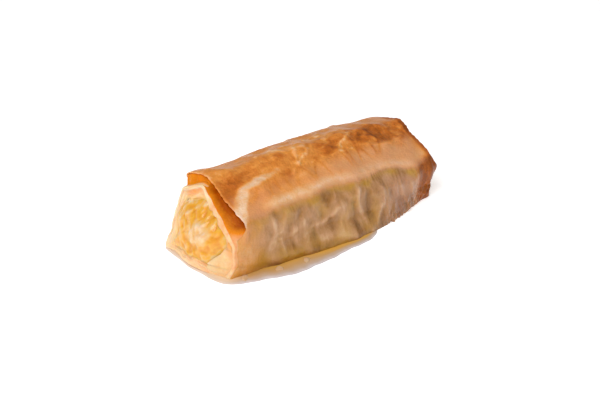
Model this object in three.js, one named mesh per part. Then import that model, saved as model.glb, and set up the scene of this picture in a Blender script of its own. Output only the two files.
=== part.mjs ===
// A rolled galaktoboureko: semolina custard wrapped in buttered phyllo, baked crisp and soaked in syrup.
// Millimetres, +Z up. X runs along the roll. The end at -X shows the filling, and the crinkled side faces -Y.
// The origin lies under the roll's axis, on the surface that the roll rests on.
import * as THREE from "three";

// Driving dimensions
const HALF_LENGTH = 62.5; // from the middle to the far edge of the outer sheet
const AXIS_HEIGHT = 17; // the roll's axis above the surface it rests on
const SHEET = 1.2; // the crisp outer sheets at their free edge
const WALL = 6; // all the phyllo between the outside and the custard
const BASE_WALL = 3; // the same under the custard
const GAP = 0.4; // clearance between neighbouring pieces
const EDGE_BEVEL = 0.2; // slant of a free edge
const EDGE_STEP = 0.6; // least depth of a gap under a free edge
const CORNER_POWER = 20; // higher is sharper where two facets of a section meet

// Each cross-section is a rounded polygon. A facet has a tilt (0 faces +Y, 90 faces up, 180 faces -Y)
// and a distance from the axis at the near end, in the middle and at the far end.
const OUTER_FACETS = [
  { tilt: 192, near: 24.4, middle: 27.8, far: 24.2, sag: 5.6 }, // front, drawn in under the belly
  { tilt: 174, near: 25.4, middle: 26.6, far: 27.2, sag: 1.6 }, // front
  { tilt: 138, near: 22.2, middle: 23.8, far: 18.8 }, // front shoulder
  { tilt: 115, near: 17.2, middle: 19.6, far: 12.6 }, // top, sloping to the front
  { tilt: 76, near: 20.6, middle: 21.0, far: 14.8 }, // top, sloping to the back
  { tilt: 22, near: 21.8, middle: 23.4, far: 20.5 }, // back shoulder
  { tilt: 5, near: 23.0, middle: 25.5, far: 24.0 }, // back
  { tilt: -12, near: 24.0, middle: 24.5, far: 23.0 }, // back, drawn in
];
// The soaked foot of the front has slumped outwards at these places, the last two as loose flakes.
const SLUMPS = [
  { x: 22, width: 19, share: 1 },
  { x: 46, width: 4, share: 0.3 },
  { x: 58, width: 3.5, share: 0.35 },
];
// The inner sheets leave the near end as a steeper tent than the outer sheet over them.
const TENT_FACETS = [
  { tilt: 200, reach: 24.3 },
  { tilt: 124, reach: 13.6 },
  { tilt: 68, reach: 18.0 },
  { tilt: 16, reach: 16.8 },
  { tilt: -8, reach: 21.2 },
];

// Near end: the outer sheet stops short over the top, and the inner sheets come out under it.
const FLAP_EDGE = -54; // free edge of the outer sheet over the top
const FLAP_WAVES = [
  { height: 0.5, turns: 3, phase: 0 },
  { height: 0.3, turns: 7, phase: 1 },
];
const FLAP_LIFT = 0.8; // how far that edge curls up
const FLAP_CURL = 6; // length of the curl
const FLAP_DEPTH = 8; // how far the gap under the flap reaches in on the front
const FLAP_FRONT = [155, 167]; // degrees over which the flap runs out on the front
const FLAP_BACK = [-8, -30]; // the same on the back
const FLAP_CLEAR = 0.8; // room under the flap besides the gap
const TAB_FRONT = [100, 84]; // degrees over which the gap turns shallow towards the flap's upper corner
const TAB_DEPTH = 1.8; // depth of that shallow gap
const TAB_BACK = 7; // the flap's edge draws back this far behind its upper corner
const TAB_END = [44, 20]; // degrees over which it does
const NEAR_RIM = -61.2; // mean place of the inner sheets' rim
const RIM_LEAN = 3; // the rim's foot stands out this far past the mean, and its crown stays back as far
const FOOT_SWELL = 1.9; // the middle of its foot stands out further
const SHEET_BACK = 0.8; // the outer sheet ends this far behind the rim, below the flap
const CORNER_TIP = { tilt: -37, width: 9, reach: 2.6 }; // pointed corner of sheet at the foot of the back
const RIM_ROLL = 1.9; // thickness of the rolled rim
const FOOT_ROLL = 3.6; // the same along the foot
const RIM_NOSE = 0.5; // the rolled rim's crest stands out this far
const NEAR_MOUTH = 14.8; // mean radius of the opening that shows custard
const MOUTH_WAVE = 0.5; // unevenness of that opening
const MOUTH_LIP = 1; // sheet left between the opening and the wall
const FOOT_LIP = 2; // more of it along the foot
const MOUTH_SHIFT = { y: 1, z: -5 }; // that opening's centre from the axis
const CORNER_TUCK = { tilt: 222, width: 30, depth: 3.4 }; // sheet folded over the mouth's lower front corner
const TUCK_DEPTH = 3.2; // from the rim's crest in to the mouth's edge
const TUCK_SHEET = 0.8; // thickness of the sheet at that edge
const TUCK_BEND = { depth: 0.7, share: 0.6 }; // where the tucked sheet bends, of its depth and of its way in
const CUSTARD_BULGE = 3.6; // how far the custard swells out of the mouth's edge

// Far end: the outer sheet reaches past the tucked inner sheets.
const FAR_RIM = 60.2;
const FAR_INSET = 3.4; // the tucked rim under the outer sheet
const FAR_DEPTH = 6; // how far the gap under the outer sheet reaches in
const FAR_RISE = 0.6; // share of the inset that is made up at the gap's end
const FAR_MOUTH = 12;

// Folds and swells of the baked sheets
const FOLD_PATH = [
  { x: -53.5, tilt: 162 },
  { x: -51, tilt: 148 },
  { x: -47, tilt: 135 },
  { x: -42, tilt: 130 },
  { x: -14, tilt: 128 },
];
const FOLD = { height: 1.7, width: 3.4 };
const HOLLOW = { x: -46, tilt: 112, depth: 1.4, length: 9, width: 6 }; // above the fold
const SHOULDER = { near: 161, middle: 162.5, far: 176 }; // tilt of the line below which the sheets are soaked
const SHRINK = { depth: 0.8, from: -44, over: 14 }; // how far the soaked sheets have drawn in
const GIRTH = 25; // radius that turns a tilt into a length round the roll
const SWELLS = [
  { height: 0.5, wave: 41, turns: 2, phase: 0.6 },
  { height: 0.4, wave: 23, turns: 3, phase: 2.1 },
  { height: 0.3, wave: 13, turns: 5, phase: 4.0 },
];
const PLEATS = { height: 0.5, wave: 9, tilt: 188, spread: 26, from: -38, over: 20, sway: 3 };

// The custard's end: a swelling with one oval lump, whose long way rises towards the front
const CUSTARD_LUMP = { y: -4, z: 16.2, halfLong: 7.6, halfHigh: 5.2, turn: -21.5, height: 1.5 };
const LUMP_SLOPE = [0.5, 1.2]; // shares of the oval's size between which the lump falls off
const CUSTARD_SHARES = [0.9, 0.74, 0.58, 0.42, 0.26, 0.1]; // radii of the rings over its swelling

// Syrup that has run out round the foot of the front
const POOL_MIDDLE = -24; // X of its widest place
const POOL_HALF = 41; // half its length along the front
const POOL_WIDTH = 11.5; // out from the roll's foot
const POOL_WALL = 2.0; // height where it climbs the pastry
const POOL_SKIN = 0.7; // height of its outer lip
const POOL_BLUNT = 0.985; // the tips stop here, short of a point
const POOL_RIPPLES = [
  { share: 0.05, rate: 0.31, phase: 0 }, // of the width, radians per millimetre
  { share: 0.04, rate: 0.83, phase: 1 },
];
const POOL_PROFILE = [
  { out: 0.25, climb: 0.55, skin: 1 }, // share of the width, of the climb and of the lip's height
  { out: 0.6, climb: 0, skin: 1.1 },
  { out: 0.9, climb: 0, skin: 1 },
  { out: 1, climb: 0, skin: 0.45 },
];
const FOOT_BAND = 1.5; // height over the syrup in which the roll's foot is looked for

// Fineness of the faceted solids
const ROUND_SPANS = [
  { from: -30, to: 204, step: 6 }, // back, top and front
  { from: 204, to: 228, step: 3 }, // front corner of the base
  { from: 228, to: 312, step: 12 }, // base
  { from: 312, to: 330, step: 3 }, // back corner of the base
];
const OUTER_STEPS = 46;
const TENT_SHARES = [0.1, 0.6]; // places along the tent, from the flap's edge to the rim
const INNER_STEPS = 5;
const POOL_STEPS = 36;

const { cos, sin, abs, min, max, sqrt, PI } = Math;
const radians = THREE.MathUtils.degToRad;
const { smoothstep, lerp } = THREE.MathUtils;

// A smooth rise from 0 at the first angle to 1 at the second, whichever way round they are.
function ramp(tilt, [from, to]) {
  return from < to ? smoothstep(tilt, from, to) : 1 - smoothstep(tilt, to, from);
}

// Tilt in degrees from -90 to 270, so that the base is where the range wraps.
function tiltOf(angle) {
  const tilt = THREE.MathUtils.radToDeg(angle);
  return tilt > 270 ? tilt - 360 : tilt;
}

// A radius kept above the surface that the roll rests on.
function cutByBase(radius, angle) {
  const down = -sin(angle);
  return down > 0 ? min(radius, AXIS_HEIGHT / down) : radius;
}

// Distance from the axis to a rounded polygon: the smooth minimum of its facets, cut off flat by the base.
function polygonRadius(angle, facets, distanceOf) {
  let sum = 0;
  for (const facet of facets) {
    const facing = max(cos(angle - radians(facet.tilt)), 0);
    sum += (facing / distanceOf(facet)) ** CORNER_POWER;
  }
  return cutByBase(sum ** (-1 / CORNER_POWER), angle);
}

// A smooth bump of height 1 at its middle.
function bump(offset, width) {
  return Math.exp(-((offset / width) ** 2));
}

// The value at x of the curve through the near, middle and far values, and what has slumped.
function alongRoll({ near, middle, far, sag = 0 }, x) {
  const s = THREE.MathUtils.clamp(x / HALF_LENGTH, -1, 1);
  const slumped = SLUMPS.reduce((sum, slump) => sum + slump.share * bump(x - slump.x, slump.width), 0);
  return (near * s * (s - 1)) / 2 + middle * (1 - s * s) + (far * s * (s + 1)) / 2 + sag * slumped;
}

function sectionRadius(x, angle) {
  return polygonRadius(angle, OUTER_FACETS, (facet) => alongRoll(facet, x));
}

// The angles at which every ring has a point.
function ringAngles() {
  const angles = [];
  for (const { from, to, step } of ROUND_SPANS) {
    for (let tilt = from; tilt < to; tilt += step) angles.push(radians(tilt));
  }
  return angles;
}

// How far a place lies from the underside: 0 on the base, 1 above it. Relief fades out there.
function clearOfBase(angle) {
  return smoothstep(sin(angle), -0.75, -0.2);
}

// Length along the surface from a place to the fold.
function distanceToFold(x, tilt) {
  const flat = (spot) => new THREE.Vector2(spot.x, radians(spot.tilt) * GIRTH);
  const here = flat({ x, tilt });
  let nearest = Infinity;
  for (let i = 0; i + 1 < FOLD_PATH.length; i++) {
    const from = flat(FOLD_PATH[i]);
    const step = flat(FOLD_PATH[i + 1]).sub(from);
    const share = THREE.MathUtils.clamp(here.clone().sub(from).dot(step) / step.lengthSq(), 0, 1);
    nearest = min(nearest, here.distanceTo(from.addScaledVector(step, share)));
  }
  return nearest;
}

// Folds, hollows, swells and pleats of the outer sheet.
function relief(x, angle) {
  const tilt = tiltOf(angle);
  let height = FOLD.height * bump(distanceToFold(x, tilt), FOLD.width);
  const aside = radians(tilt - HOLLOW.tilt) * GIRTH;
  height -= HOLLOW.depth * bump(x - HOLLOW.x, HOLLOW.length) * bump(aside, HOLLOW.width);
  const line = alongRoll(SHOULDER, x);
  const below = smoothstep(tilt, line - 2, line + 4);
  height -= SHRINK.depth * below * smoothstep(x, SHRINK.from, SHRINK.from + SHRINK.over);
  for (const { height: swell, wave, turns, phase } of SWELLS) {
    height += swell * sin((2 * PI * x) / wave + phase) * cos(turns * angle + phase);
  }
  const onSide = bump(tilt - PLEATS.tilt, PLEATS.spread);
  const pleated = onSide * smoothstep(x, PLEATS.from, PLEATS.from + PLEATS.over);
  height += PLEATS.height * pleated * sin((2 * PI * (x + PLEATS.sway * sin(angle * 4))) / PLEATS.wave);
  return height * clearOfBase(angle);
}

// Share of the free flap at an angle: 1 over the top, 0 where the outer sheet runs on to the rim.
function flapShare(angle) {
  const tilt = tiltOf(angle);
  return tilt > 90 ? 1 - ramp(tilt, FLAP_FRONT) : 1 - ramp(tilt, FLAP_BACK);
}

// 1 along the foot of an end, 0 on its sides and top.
function footShare(angle) {
  return smoothstep(-sin(angle), 0.5, 0.95);
}

function rollAt(angle) {
  return lerp(RIM_ROLL, FOOT_ROLL, footShare(angle));
}

function nearRimX(angle) {
  const tip = CORNER_TIP.reach * bump(tiltOf(angle) - CORNER_TIP.tilt, CORNER_TIP.width);
  const foot = FOOT_SWELL * max(-sin(angle), 0) ** 3;
  return NEAR_RIM + RIM_LEAN * sin(angle) - foot - tip;
}

function flapEdgeX(angle) {
  let edge = FLAP_EDGE + TAB_BACK * ramp(tiltOf(angle), TAB_END);
  for (const { height, turns, phase } of FLAP_WAVES) edge += height * sin(turns * angle + phase);
  return lerp(nearRimX(angle) + SHEET_BACK, edge, flapShare(angle));
}

// 1 at the flap's upper corner and on the back, where the gap under the flap is shallow.
function tabShare(angle) {
  return ramp(tiltOf(angle), TAB_FRONT);
}

function gapDepth(angle) {
  return lerp(FLAP_DEPTH, TAB_DEPTH, tabShare(angle)) * flapShare(angle);
}

function outerRadius(x, angle) {
  const share = flapShare(angle);
  const lift = FLAP_LIFT * share * Math.exp(-max(x - flapEdgeX(angle), 0) / FLAP_CURL);
  return cutByBase(sectionRadius(x, angle) + relief(x, angle) + lift * clearOfBase(angle), angle);
}

// The inner sheets between the gap under the flap and the near rim.
function tentRadius(x, angle) {
  const tent = polygonRadius(angle, TENT_FACETS, (facet) => facet.reach);
  const rim = nearRimX(angle);
  const edge = flapEdgeX(angle);
  const under = sectionRadius(x, angle) - SHEET - GAP - FLAP_CLEAR * flapShare(angle);
  const start = lerp(rim, edge, tabShare(angle) * flapShare(angle));
  const blend = smoothstep(x, start, max(edge + gapDepth(angle), start + 1));
  return min(lerp(tent, under, blend), under);
}

function wallRadius(x, angle) {
  return sectionRadius(x, angle) - lerp(BASE_WALL, WALL, clearOfBase(angle));
}

// Radius of the opening at an end, off the axis, drawn in where a corner is folded over it, inside the wall.
function mouthRadius(x, angle, mean) {
  const shifted = mean + MOUTH_SHIFT.y * cos(angle) + MOUTH_SHIFT.z * sin(angle);
  const off = (((tiltOf(angle) - CORNER_TUCK.tilt + 540) % 360) - 180) / CORNER_TUCK.width;
  const drawn = shifted - CORNER_TUCK.depth * bump(off, 1) + MOUTH_WAVE * sin(3 * angle + 1);
  return min(drawn, wallRadius(x, angle) - MOUTH_LIP - FOOT_LIP * footShare(angle));
}

function nearMouth(angle) {
  return mouthRadius(nearRimX(angle), angle, NEAR_MOUTH);
}

function farMouth(angle) {
  return mouthRadius(FAR_RIM, angle, FAR_MOUTH);
}

// From the back of the near tuck to the back of the far one.
function innerSpan(angle) {
  const behind = TUCK_DEPTH + TUCK_SHEET;
  return [nearRimX(angle) + behind, FAR_RIM - behind];
}

function place(x, angle, radius) {
  const z = AXIS_HEIGHT + radius * sin(angle);
  return new THREE.Vector3(x, radius * cos(angle), abs(z) < 1e-6 ? 0 : z);
}

// The wall's cut outline at one angle, as x and radius, round once: outside, near end, inside, far end.
function wrapOutline(angle) {
  return [...outsideOutline(angle), ...nearOutline(angle), ...insideOutline(angle), ...farOutline(angle)];
}

function outsideOutline(angle) {
  const outline = [];
  for (let i = 0; i <= OUTER_STEPS; i++) {
    const x = lerp(HALF_LENGTH, flapEdgeX(angle), i / OUTER_STEPS);
    outline.push([x, outerRadius(x, angle)]);
  }
  return outline;
}

function sheetUnder(x, angle) {
  return outerRadius(x, angle) - SHEET;
}

// Under the flap into the gap, out along the tent, over the rim and in to the mouth.
function nearOutline(angle) {
  const edge = flapEdgeX(angle);
  const rim = nearRimX(angle);
  const gapEnd = edge + EDGE_STEP + gapDepth(angle);
  const tent = [gapEnd, ...TENT_SHARES.map((share) => lerp(edge, rim, share))].map((x) => {
    return [x, min(tentRadius(x, angle), sheetUnder(max(x, edge), angle) - GAP / 2)];
  });
  const rimRadius = tentRadius(rim, angle);
  const rimInside = rimRadius - rollAt(angle);
  const mouth = nearMouth(angle);
  return [
    [edge + EDGE_BEVEL, sheetUnder(edge, angle)],
    [gapEnd, sheetUnder(gapEnd, angle)],
    ...tent,
    [rim, (rimRadius + rimInside) / 2],
    [rim + RIM_NOSE, rimInside],
    [rim + TUCK_DEPTH * TUCK_BEND.depth, lerp(rimInside, mouth, TUCK_BEND.share)],
    [rim + TUCK_DEPTH, mouth],
    [innerSpan(angle)[0], mouth + EDGE_BEVEL],
  ];
}

function insideOutline(angle) {
  const outline = [];
  for (let i = 0; i <= INNER_STEPS; i++) {
    const x = lerp(...innerSpan(angle), i / INNER_STEPS);
    outline.push([x, wallRadius(x, angle)]);
  }
  return outline;
}

// Out of the far mouth, over the tucked rim, and back under the outer sheet.
function farOutline(angle) {
  const inset = FAR_INSET * clearOfBase(angle);
  const tuckAt = (x) => sectionRadius(x, angle) - SHEET - GAP - inset;
  const gapEnd = HALF_LENGTH - FAR_DEPTH;
  const mouth = farMouth(angle);
  const rimRadius = tuckAt(FAR_RIM);
  const rimInside = rimRadius - RIM_ROLL;
  return [
    [innerSpan(angle)[1], mouth + EDGE_BEVEL],
    [FAR_RIM - TUCK_DEPTH, mouth],
    [FAR_RIM - TUCK_DEPTH * TUCK_BEND.depth, lerp(rimInside, mouth, TUCK_BEND.share)],
    [FAR_RIM - RIM_NOSE, rimInside],
    [FAR_RIM, (rimRadius + rimInside) / 2],
    [FAR_RIM - RIM_NOSE, rimRadius],
    [gapEnd, min(tuckAt(gapEnd) + inset * FAR_RISE, sheetUnder(gapEnd, angle) - GAP)],
    [gapEnd, sheetUnder(gapEnd, angle)],
    [HALF_LENGTH - EDGE_BEVEL, sheetUnder(HALF_LENGTH, angle)],
  ];
}

// Rings of points joined into one closed surface. A loop closes on itself; otherwise both ends get a fan.
function solidFromRings(rings, isLoop) {
  const count = rings[0].length;
  const points = rings.flat();
  const index = [];
  const corner = (i, j) => (i % rings.length) * count + (j % count);
  for (let i = 0; i < rings.length - (isLoop ? 0 : 1); i++) {
    for (let j = 0; j < count; j++) {
      index.push(corner(i, j), corner(i + 1, j), corner(i + 1, j + 1));
      index.push(corner(i, j), corner(i + 1, j + 1), corner(i, j + 1));
    }
  }
  if (!isLoop) {
    for (const [i, turn] of [[0, 1], [rings.length - 1, -1]]) {
      const middle = rings[i].reduce((sum, p) => sum.add(p), new THREE.Vector3()).divideScalar(count);
      points.push(middle);
      for (let j = 0; j < count; j++) {
        const pair = [corner(i, j), corner(i, j + 1)];
        index.push(points.length - 1, ...(turn > 0 ? pair : pair.reverse()));
      }
    }
  }
  const geometry = new THREE.BufferGeometry().setFromPoints(points);
  geometry.setIndex(signedVolume(points, index) < 0 ? index.reverse() : index);
  geometry.computeVertexNormals();
  return geometry;
}

function signedVolume(points, index) {
  let sum = 0;
  for (let i = 0; i < index.length; i += 3) {
    const [a, b, c] = [0, 1, 2].map((k) => points[index[i + k]]);
    sum += a.dot(b.clone().cross(c));
  }
  return sum / 6;
}

function phylloWrap() {
  const outline = (angle) => wrapOutline(angle).map(([x, radius]) => place(x, angle, radius));
  return solidFromRings(ringAngles().map(outline), true);
}

// How far the lump stands out at a place of the custard's end.
function lumpHeight({ y, z }) {
  const turn = radians(CUSTARD_LUMP.turn);
  const [aside, above] = [y - CUSTARD_LUMP.y, z - CUSTARD_LUMP.z];
  const along = (aside * cos(turn) + above * sin(turn)) / CUSTARD_LUMP.halfLong;
  const across = (above * cos(turn) - aside * sin(turn)) / CUSTARD_LUMP.halfHigh;
  return CUSTARD_LUMP.height * (1 - smoothstep(Math.hypot(along, across), ...LUMP_SLOPE));
}

// Custard runs through the roll and swells a little out of the opening at each end.
function custard() {
  const ring = (xAt, radiusAt) => ringAngles().map((angle) => place(xAt(angle), angle, radiusAt(angle)));
  const cap = (rimX, mouthAt, outward) => {
    const back = (angle) => rimX(angle) - outward * (TUCK_DEPTH + TUCK_SHEET + GAP);
    const neck = (angle) => mouthAt(angle) - GAP;
    const rings = [ring(back, (a) => wallRadius(back(a), a) - GAP), ring(back, neck)];
    const front = (angle) => rimX(angle) - outward * TUCK_DEPTH;
    rings.push(ring((a) => front(a) + outward * GAP, neck));
    for (const share of CUSTARD_SHARES) {
      const swell = CUSTARD_BULGE * sqrt(1 - share * share);
      const lump = (a) => lumpHeight(place(0, a, neck(a) * share)) * (1 - share ** 4);
      const flat = rimX(PI) - outward * TUCK_DEPTH;
      const x = (a) => lerp(flat, front(a), share) + outward * (swell + lump(a));
      rings.push(ring(x, (a) => neck(a) * share));
    }
    return rings;
  };
  const near = cap(nearRimX, nearMouth, -1).reverse();
  const far = cap(() => FAR_RIM, farMouth, 1);
  const middle = [];
  for (let i = 1; i < INNER_STEPS; i++) {
    const x = (a) => lerp(...innerSpan(a), i / INNER_STEPS);
    middle.push(ring(x, (a) => wallRadius(x(a), a) - GAP));
  }
  return solidFromRings([...near, ...middle, ...far], false);
}

// How far out the front of the roll reaches, from the surface it rests on up to a height.
function frontReach(x, height) {
  const above = ringAngles().filter((angle) => tiltOf(angle) > 180 && tiltOf(angle) < 250);
  const low = above.filter((angle) => AXIS_HEIGHT + outerRadius(x, angle) * sin(angle) < height + FOOT_BAND);
  return min(...low.map((angle) => outerRadius(x, angle) * cos(angle)));
}

function syrupPool() {
  const rings = [];
  for (let i = 0; i <= POOL_STEPS; i++) {
    const along = -cos((PI * i) / POOL_STEPS) * POOL_BLUNT; // closer steps towards the two tips
    const x = POOL_MIDDLE + POOL_HALF * along;
    const width = POOL_WIDTH * (1 - abs(along) ** 2.5) ** 0.6;
    const rippled = POOL_RIPPLES.reduce((sum, wave) => sum + wave.share * sin(x * wave.rate + wave.phase), 1);
    const reach = width * rippled;
    const foot = frontReach(x, POOL_WALL) - GAP;
    const wall = lerp(POOL_SKIN, POOL_WALL, min(1, width / POOL_WIDTH));
    const film = POOL_PROFILE.map(({ out, climb, skin }) => {
      return new THREE.Vector3(x, foot - reach * out, lerp(POOL_SKIN * skin, wall, climb));
    });
    const onWall = new THREE.Vector3(x, foot, wall);
    rings.push([new THREE.Vector3(x, foot, 0), onWall, ...film, new THREE.Vector3(x, foot - reach, 0)]);
  }
  return solidFromRings(rings, false);
}

function piece(name, geometry, color, roughness, extra = {}) {
  const material = new THREE.MeshStandardMaterial({ color, roughness, metalness: 0, ...extra });
  const mesh = new THREE.Mesh(geometry, material);
  mesh.name = name;
  return mesh;
}

const galaktoboureko = new THREE.Group();
galaktoboureko.add(
  piece("phyllo_wrap", phylloWrap(), 0xcf8a4a, 0.35),
  piece("custard", custard(), 0xf2c872, 0.45),
  piece("syrup_pool", syrupPool(), 0xe6bd6a, 0.08, { transparent: true, opacity: 0.6 }),
);

export default galaktoboureko;
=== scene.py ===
# %% [markdown]
# # A rolled galaktoboureko
# Semolina custard is rolled in buttered phyllo, baked until the top is crisp and then soaked in syrup.
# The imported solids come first: they hold the real size, and every surface below is worked out to lie on
# them.

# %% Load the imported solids
import math

import bpy
import numpy as np
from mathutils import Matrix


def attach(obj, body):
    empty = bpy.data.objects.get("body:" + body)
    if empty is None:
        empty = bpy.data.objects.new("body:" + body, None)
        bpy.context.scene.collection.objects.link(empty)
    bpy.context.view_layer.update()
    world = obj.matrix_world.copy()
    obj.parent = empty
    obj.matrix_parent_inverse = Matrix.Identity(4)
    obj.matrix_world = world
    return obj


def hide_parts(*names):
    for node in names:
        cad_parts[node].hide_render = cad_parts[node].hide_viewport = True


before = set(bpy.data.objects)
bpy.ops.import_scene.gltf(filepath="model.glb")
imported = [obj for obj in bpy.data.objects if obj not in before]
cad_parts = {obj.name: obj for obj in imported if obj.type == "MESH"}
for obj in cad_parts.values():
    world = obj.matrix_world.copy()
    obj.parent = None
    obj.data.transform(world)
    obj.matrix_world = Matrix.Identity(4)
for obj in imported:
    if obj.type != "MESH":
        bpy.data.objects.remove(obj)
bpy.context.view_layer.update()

# %% [markdown]
# ## Small tools for shaping
# Food is soft and uneven, so most shapes here are sums of smooth bumps and waves. The helpers work on
# whole numpy arrays of millimetres, and only the last step, putting points into a mesh, turns them into
# metres.

# %% Helpers for numbers
MM = 0.001


def smoothstep(value, low, high):
    """0 below low, 1 above high, and 3 t^2 - 2 t^3 between them."""
    t = np.clip((value - low) / (high - low), 0.0, 1.0)
    return t * t * (3.0 - 2.0 * t)


def fade(value, low, high):
    """1 below low, 0 above high: 1 less the smooth step."""
    return 1.0 - smoothstep(value, low, high)


def plateau(value, rise, fall):
    """0, up to 1 over the rise and back to 0 over the fall: a smooth step times a fade."""
    return smoothstep(value, *rise) * fade(value, *fall)


def bump(offset, width):
    """A smooth hill of height 1: e to the minus (offset / width) squared."""
    return np.exp(-((offset / width) ** 2))


def lerp(start, end, share):
    """The value a share of the way from start to end."""
    return start + (end - start) * share


def steps(count):
    """Even shares from 0 to 1, one to a row."""
    return np.linspace(0.0, 1.0, count)[:, None]


# %% Noise and curves
WAVE_COUNT = 22  # waves in one noise
WAVE_SPREAD = (0.7, 1.4)  # how often they repeat in one wave's length, at least and at most


def wave_noise(points, wave, seed):
    """Smooth noise of about -1 to 1: the sum of cosine waves of about one length in seeded directions."""
    draw = np.random.default_rng(seed)
    way = draw.normal(size=(WAVE_COUNT, 3))
    way /= np.linalg.norm(way, axis=1, keepdims=True)
    way *= 2.0 * np.pi / wave * draw.uniform(*WAVE_SPREAD, (WAVE_COUNT, 1))
    phase = draw.uniform(0.0, 2.0 * np.pi, WAVE_COUNT)
    return np.cos(points @ way.T + phase).sum(-1) / math.sqrt(WAVE_COUNT)


def smooth_path(spots, count):
    """A curve through spots: a cubic whose slope at a spot is half the step between its two neighbours."""
    spots = np.asarray(spots, float)
    padded = np.concatenate([2.0 * spots[:1] - spots[1:2], spots, 2.0 * spots[-1:] - spots[-2:-1]])
    along = np.linspace(0.0, len(spots) - 1.0, count)
    first = np.minimum(along.astype(int), len(spots) - 2)
    t = (along - first)[:, None]
    a, b, c, d = (padded[first + k] for k in range(4))
    return 0.5 * (2 * b + (c - a) * t + (2 * a - 5 * b + 4 * c - d) * t**2 + (3 * b - a - 3 * c + d) * t**3)


# %% Faces of a grid
def grid_faces(rows, columns, rows_close):
    """Quads between neighbouring rows and columns of a grid whose columns run round and meet."""
    row = np.arange(rows if rows_close else rows - 1)[:, None]
    column = np.arange(columns)[None, :]
    after = (column + 1) % columns
    below = (row + 1) % rows
    here, under = row * columns, below * columns
    corners = (here + column, under + column, under + after, here + after)
    return np.stack(np.broadcast_arrays(*corners), -1).reshape(-1, 4)


def faces_of(shape, closing):
    """Faces of one grid: rows in a loop, or rows whose first and last ring are closed by a flat face."""
    rows, columns = shape
    faces = grid_faces(rows, columns, closing == "loop").tolist()
    if closing == "caps":
        faces.append(list(range(columns)))
        faces.append(list(range((rows - 1) * columns, rows * columns))[::-1])
    return faces


def signed_volume(points, faces):
    """Six times the volume, positive if faces point out: the sum of a . (b x c) over the quads' halves."""
    quads = np.array([face for face in faces if len(face) == 4])
    a, b, c, d = (points[quads[:, k]] for k in range(4))
    return np.einsum("ij,ij", a, np.cross(b, c)) + np.einsum("ij,ij", a, np.cross(c, d))


# %% One piece from its grids
def make_piece(name, grids, closing, material, masks, stands_for):
    """One object from one or more grids in millimetres, with its masks as attributes of its points."""
    all_points, all_faces = [], []
    for grid in grids:
        points = grid.reshape(-1, 3)
        faces = faces_of(grid.shape[:2], closing)
        if signed_volume(points - points.mean(0), faces) < 0:
            faces = [face[::-1] for face in faces]
        first = sum(len(part) for part in all_points)
        all_faces += [[first + corner for corner in face] for face in faces]
        all_points.append(points)
    points = np.concatenate(all_points)
    mesh = bpy.data.meshes.new(name)
    mesh.from_pydata(points * MM, [], all_faces)
    mesh.polygons.foreach_set("use_smooth", np.ones(len(all_faces), bool))
    for mask, values in masks.items():
        layer = mesh.attributes.new(mask, "FLOAT", "POINT")
        layer.data.foreach_set("value", np.asarray(values, np.float32).ravel())
    mesh.materials.append(material)
    piece = bpy.data.objects.new(name, mesh)
    bpy.context.scene.collection.objects.link(piece)
    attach(piece, "root")
    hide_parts(stands_for)
    size = (points.max(0) - points.min(0)).round(1)
    print(f"{name}: {sum(len(face) - 2 for face in all_faces)} triangles, {size.tolist()} mm")


# %% [markdown]
# ## Finishes
# Baked phyllo isn't one colour: it goes from cream through gold to brown, and where syrup soaks it, it
# turns glassy. Each surface carries masks that say how toasted or soaked a place is, worked out from the
# shape, and some masks also paint in light and shade: highlights, sheen, glow and shadow. The materials
# turn those masks into colour, gloss and fine grain. A painted texture could do this too, but masks follow
# the shape when it changes.

# %% A small builder for materials
MIX_COLOURS, MIX_RESULT = (6, 7), 2  # the mix node's colour sockets, which share their names with others


def srgb(red, green, blue):
    """A colour seen on a screen, 0 to 255, as linear values: the standard power curve, channel by channel."""
    shares = np.array([red, green, blue]) / 255.0
    linear = np.where(shares <= 0.04045, shares / 12.92, ((shares + 0.055) / 1.055) ** 2.4)
    return (*linear.tolist(), 1.0)


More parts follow.
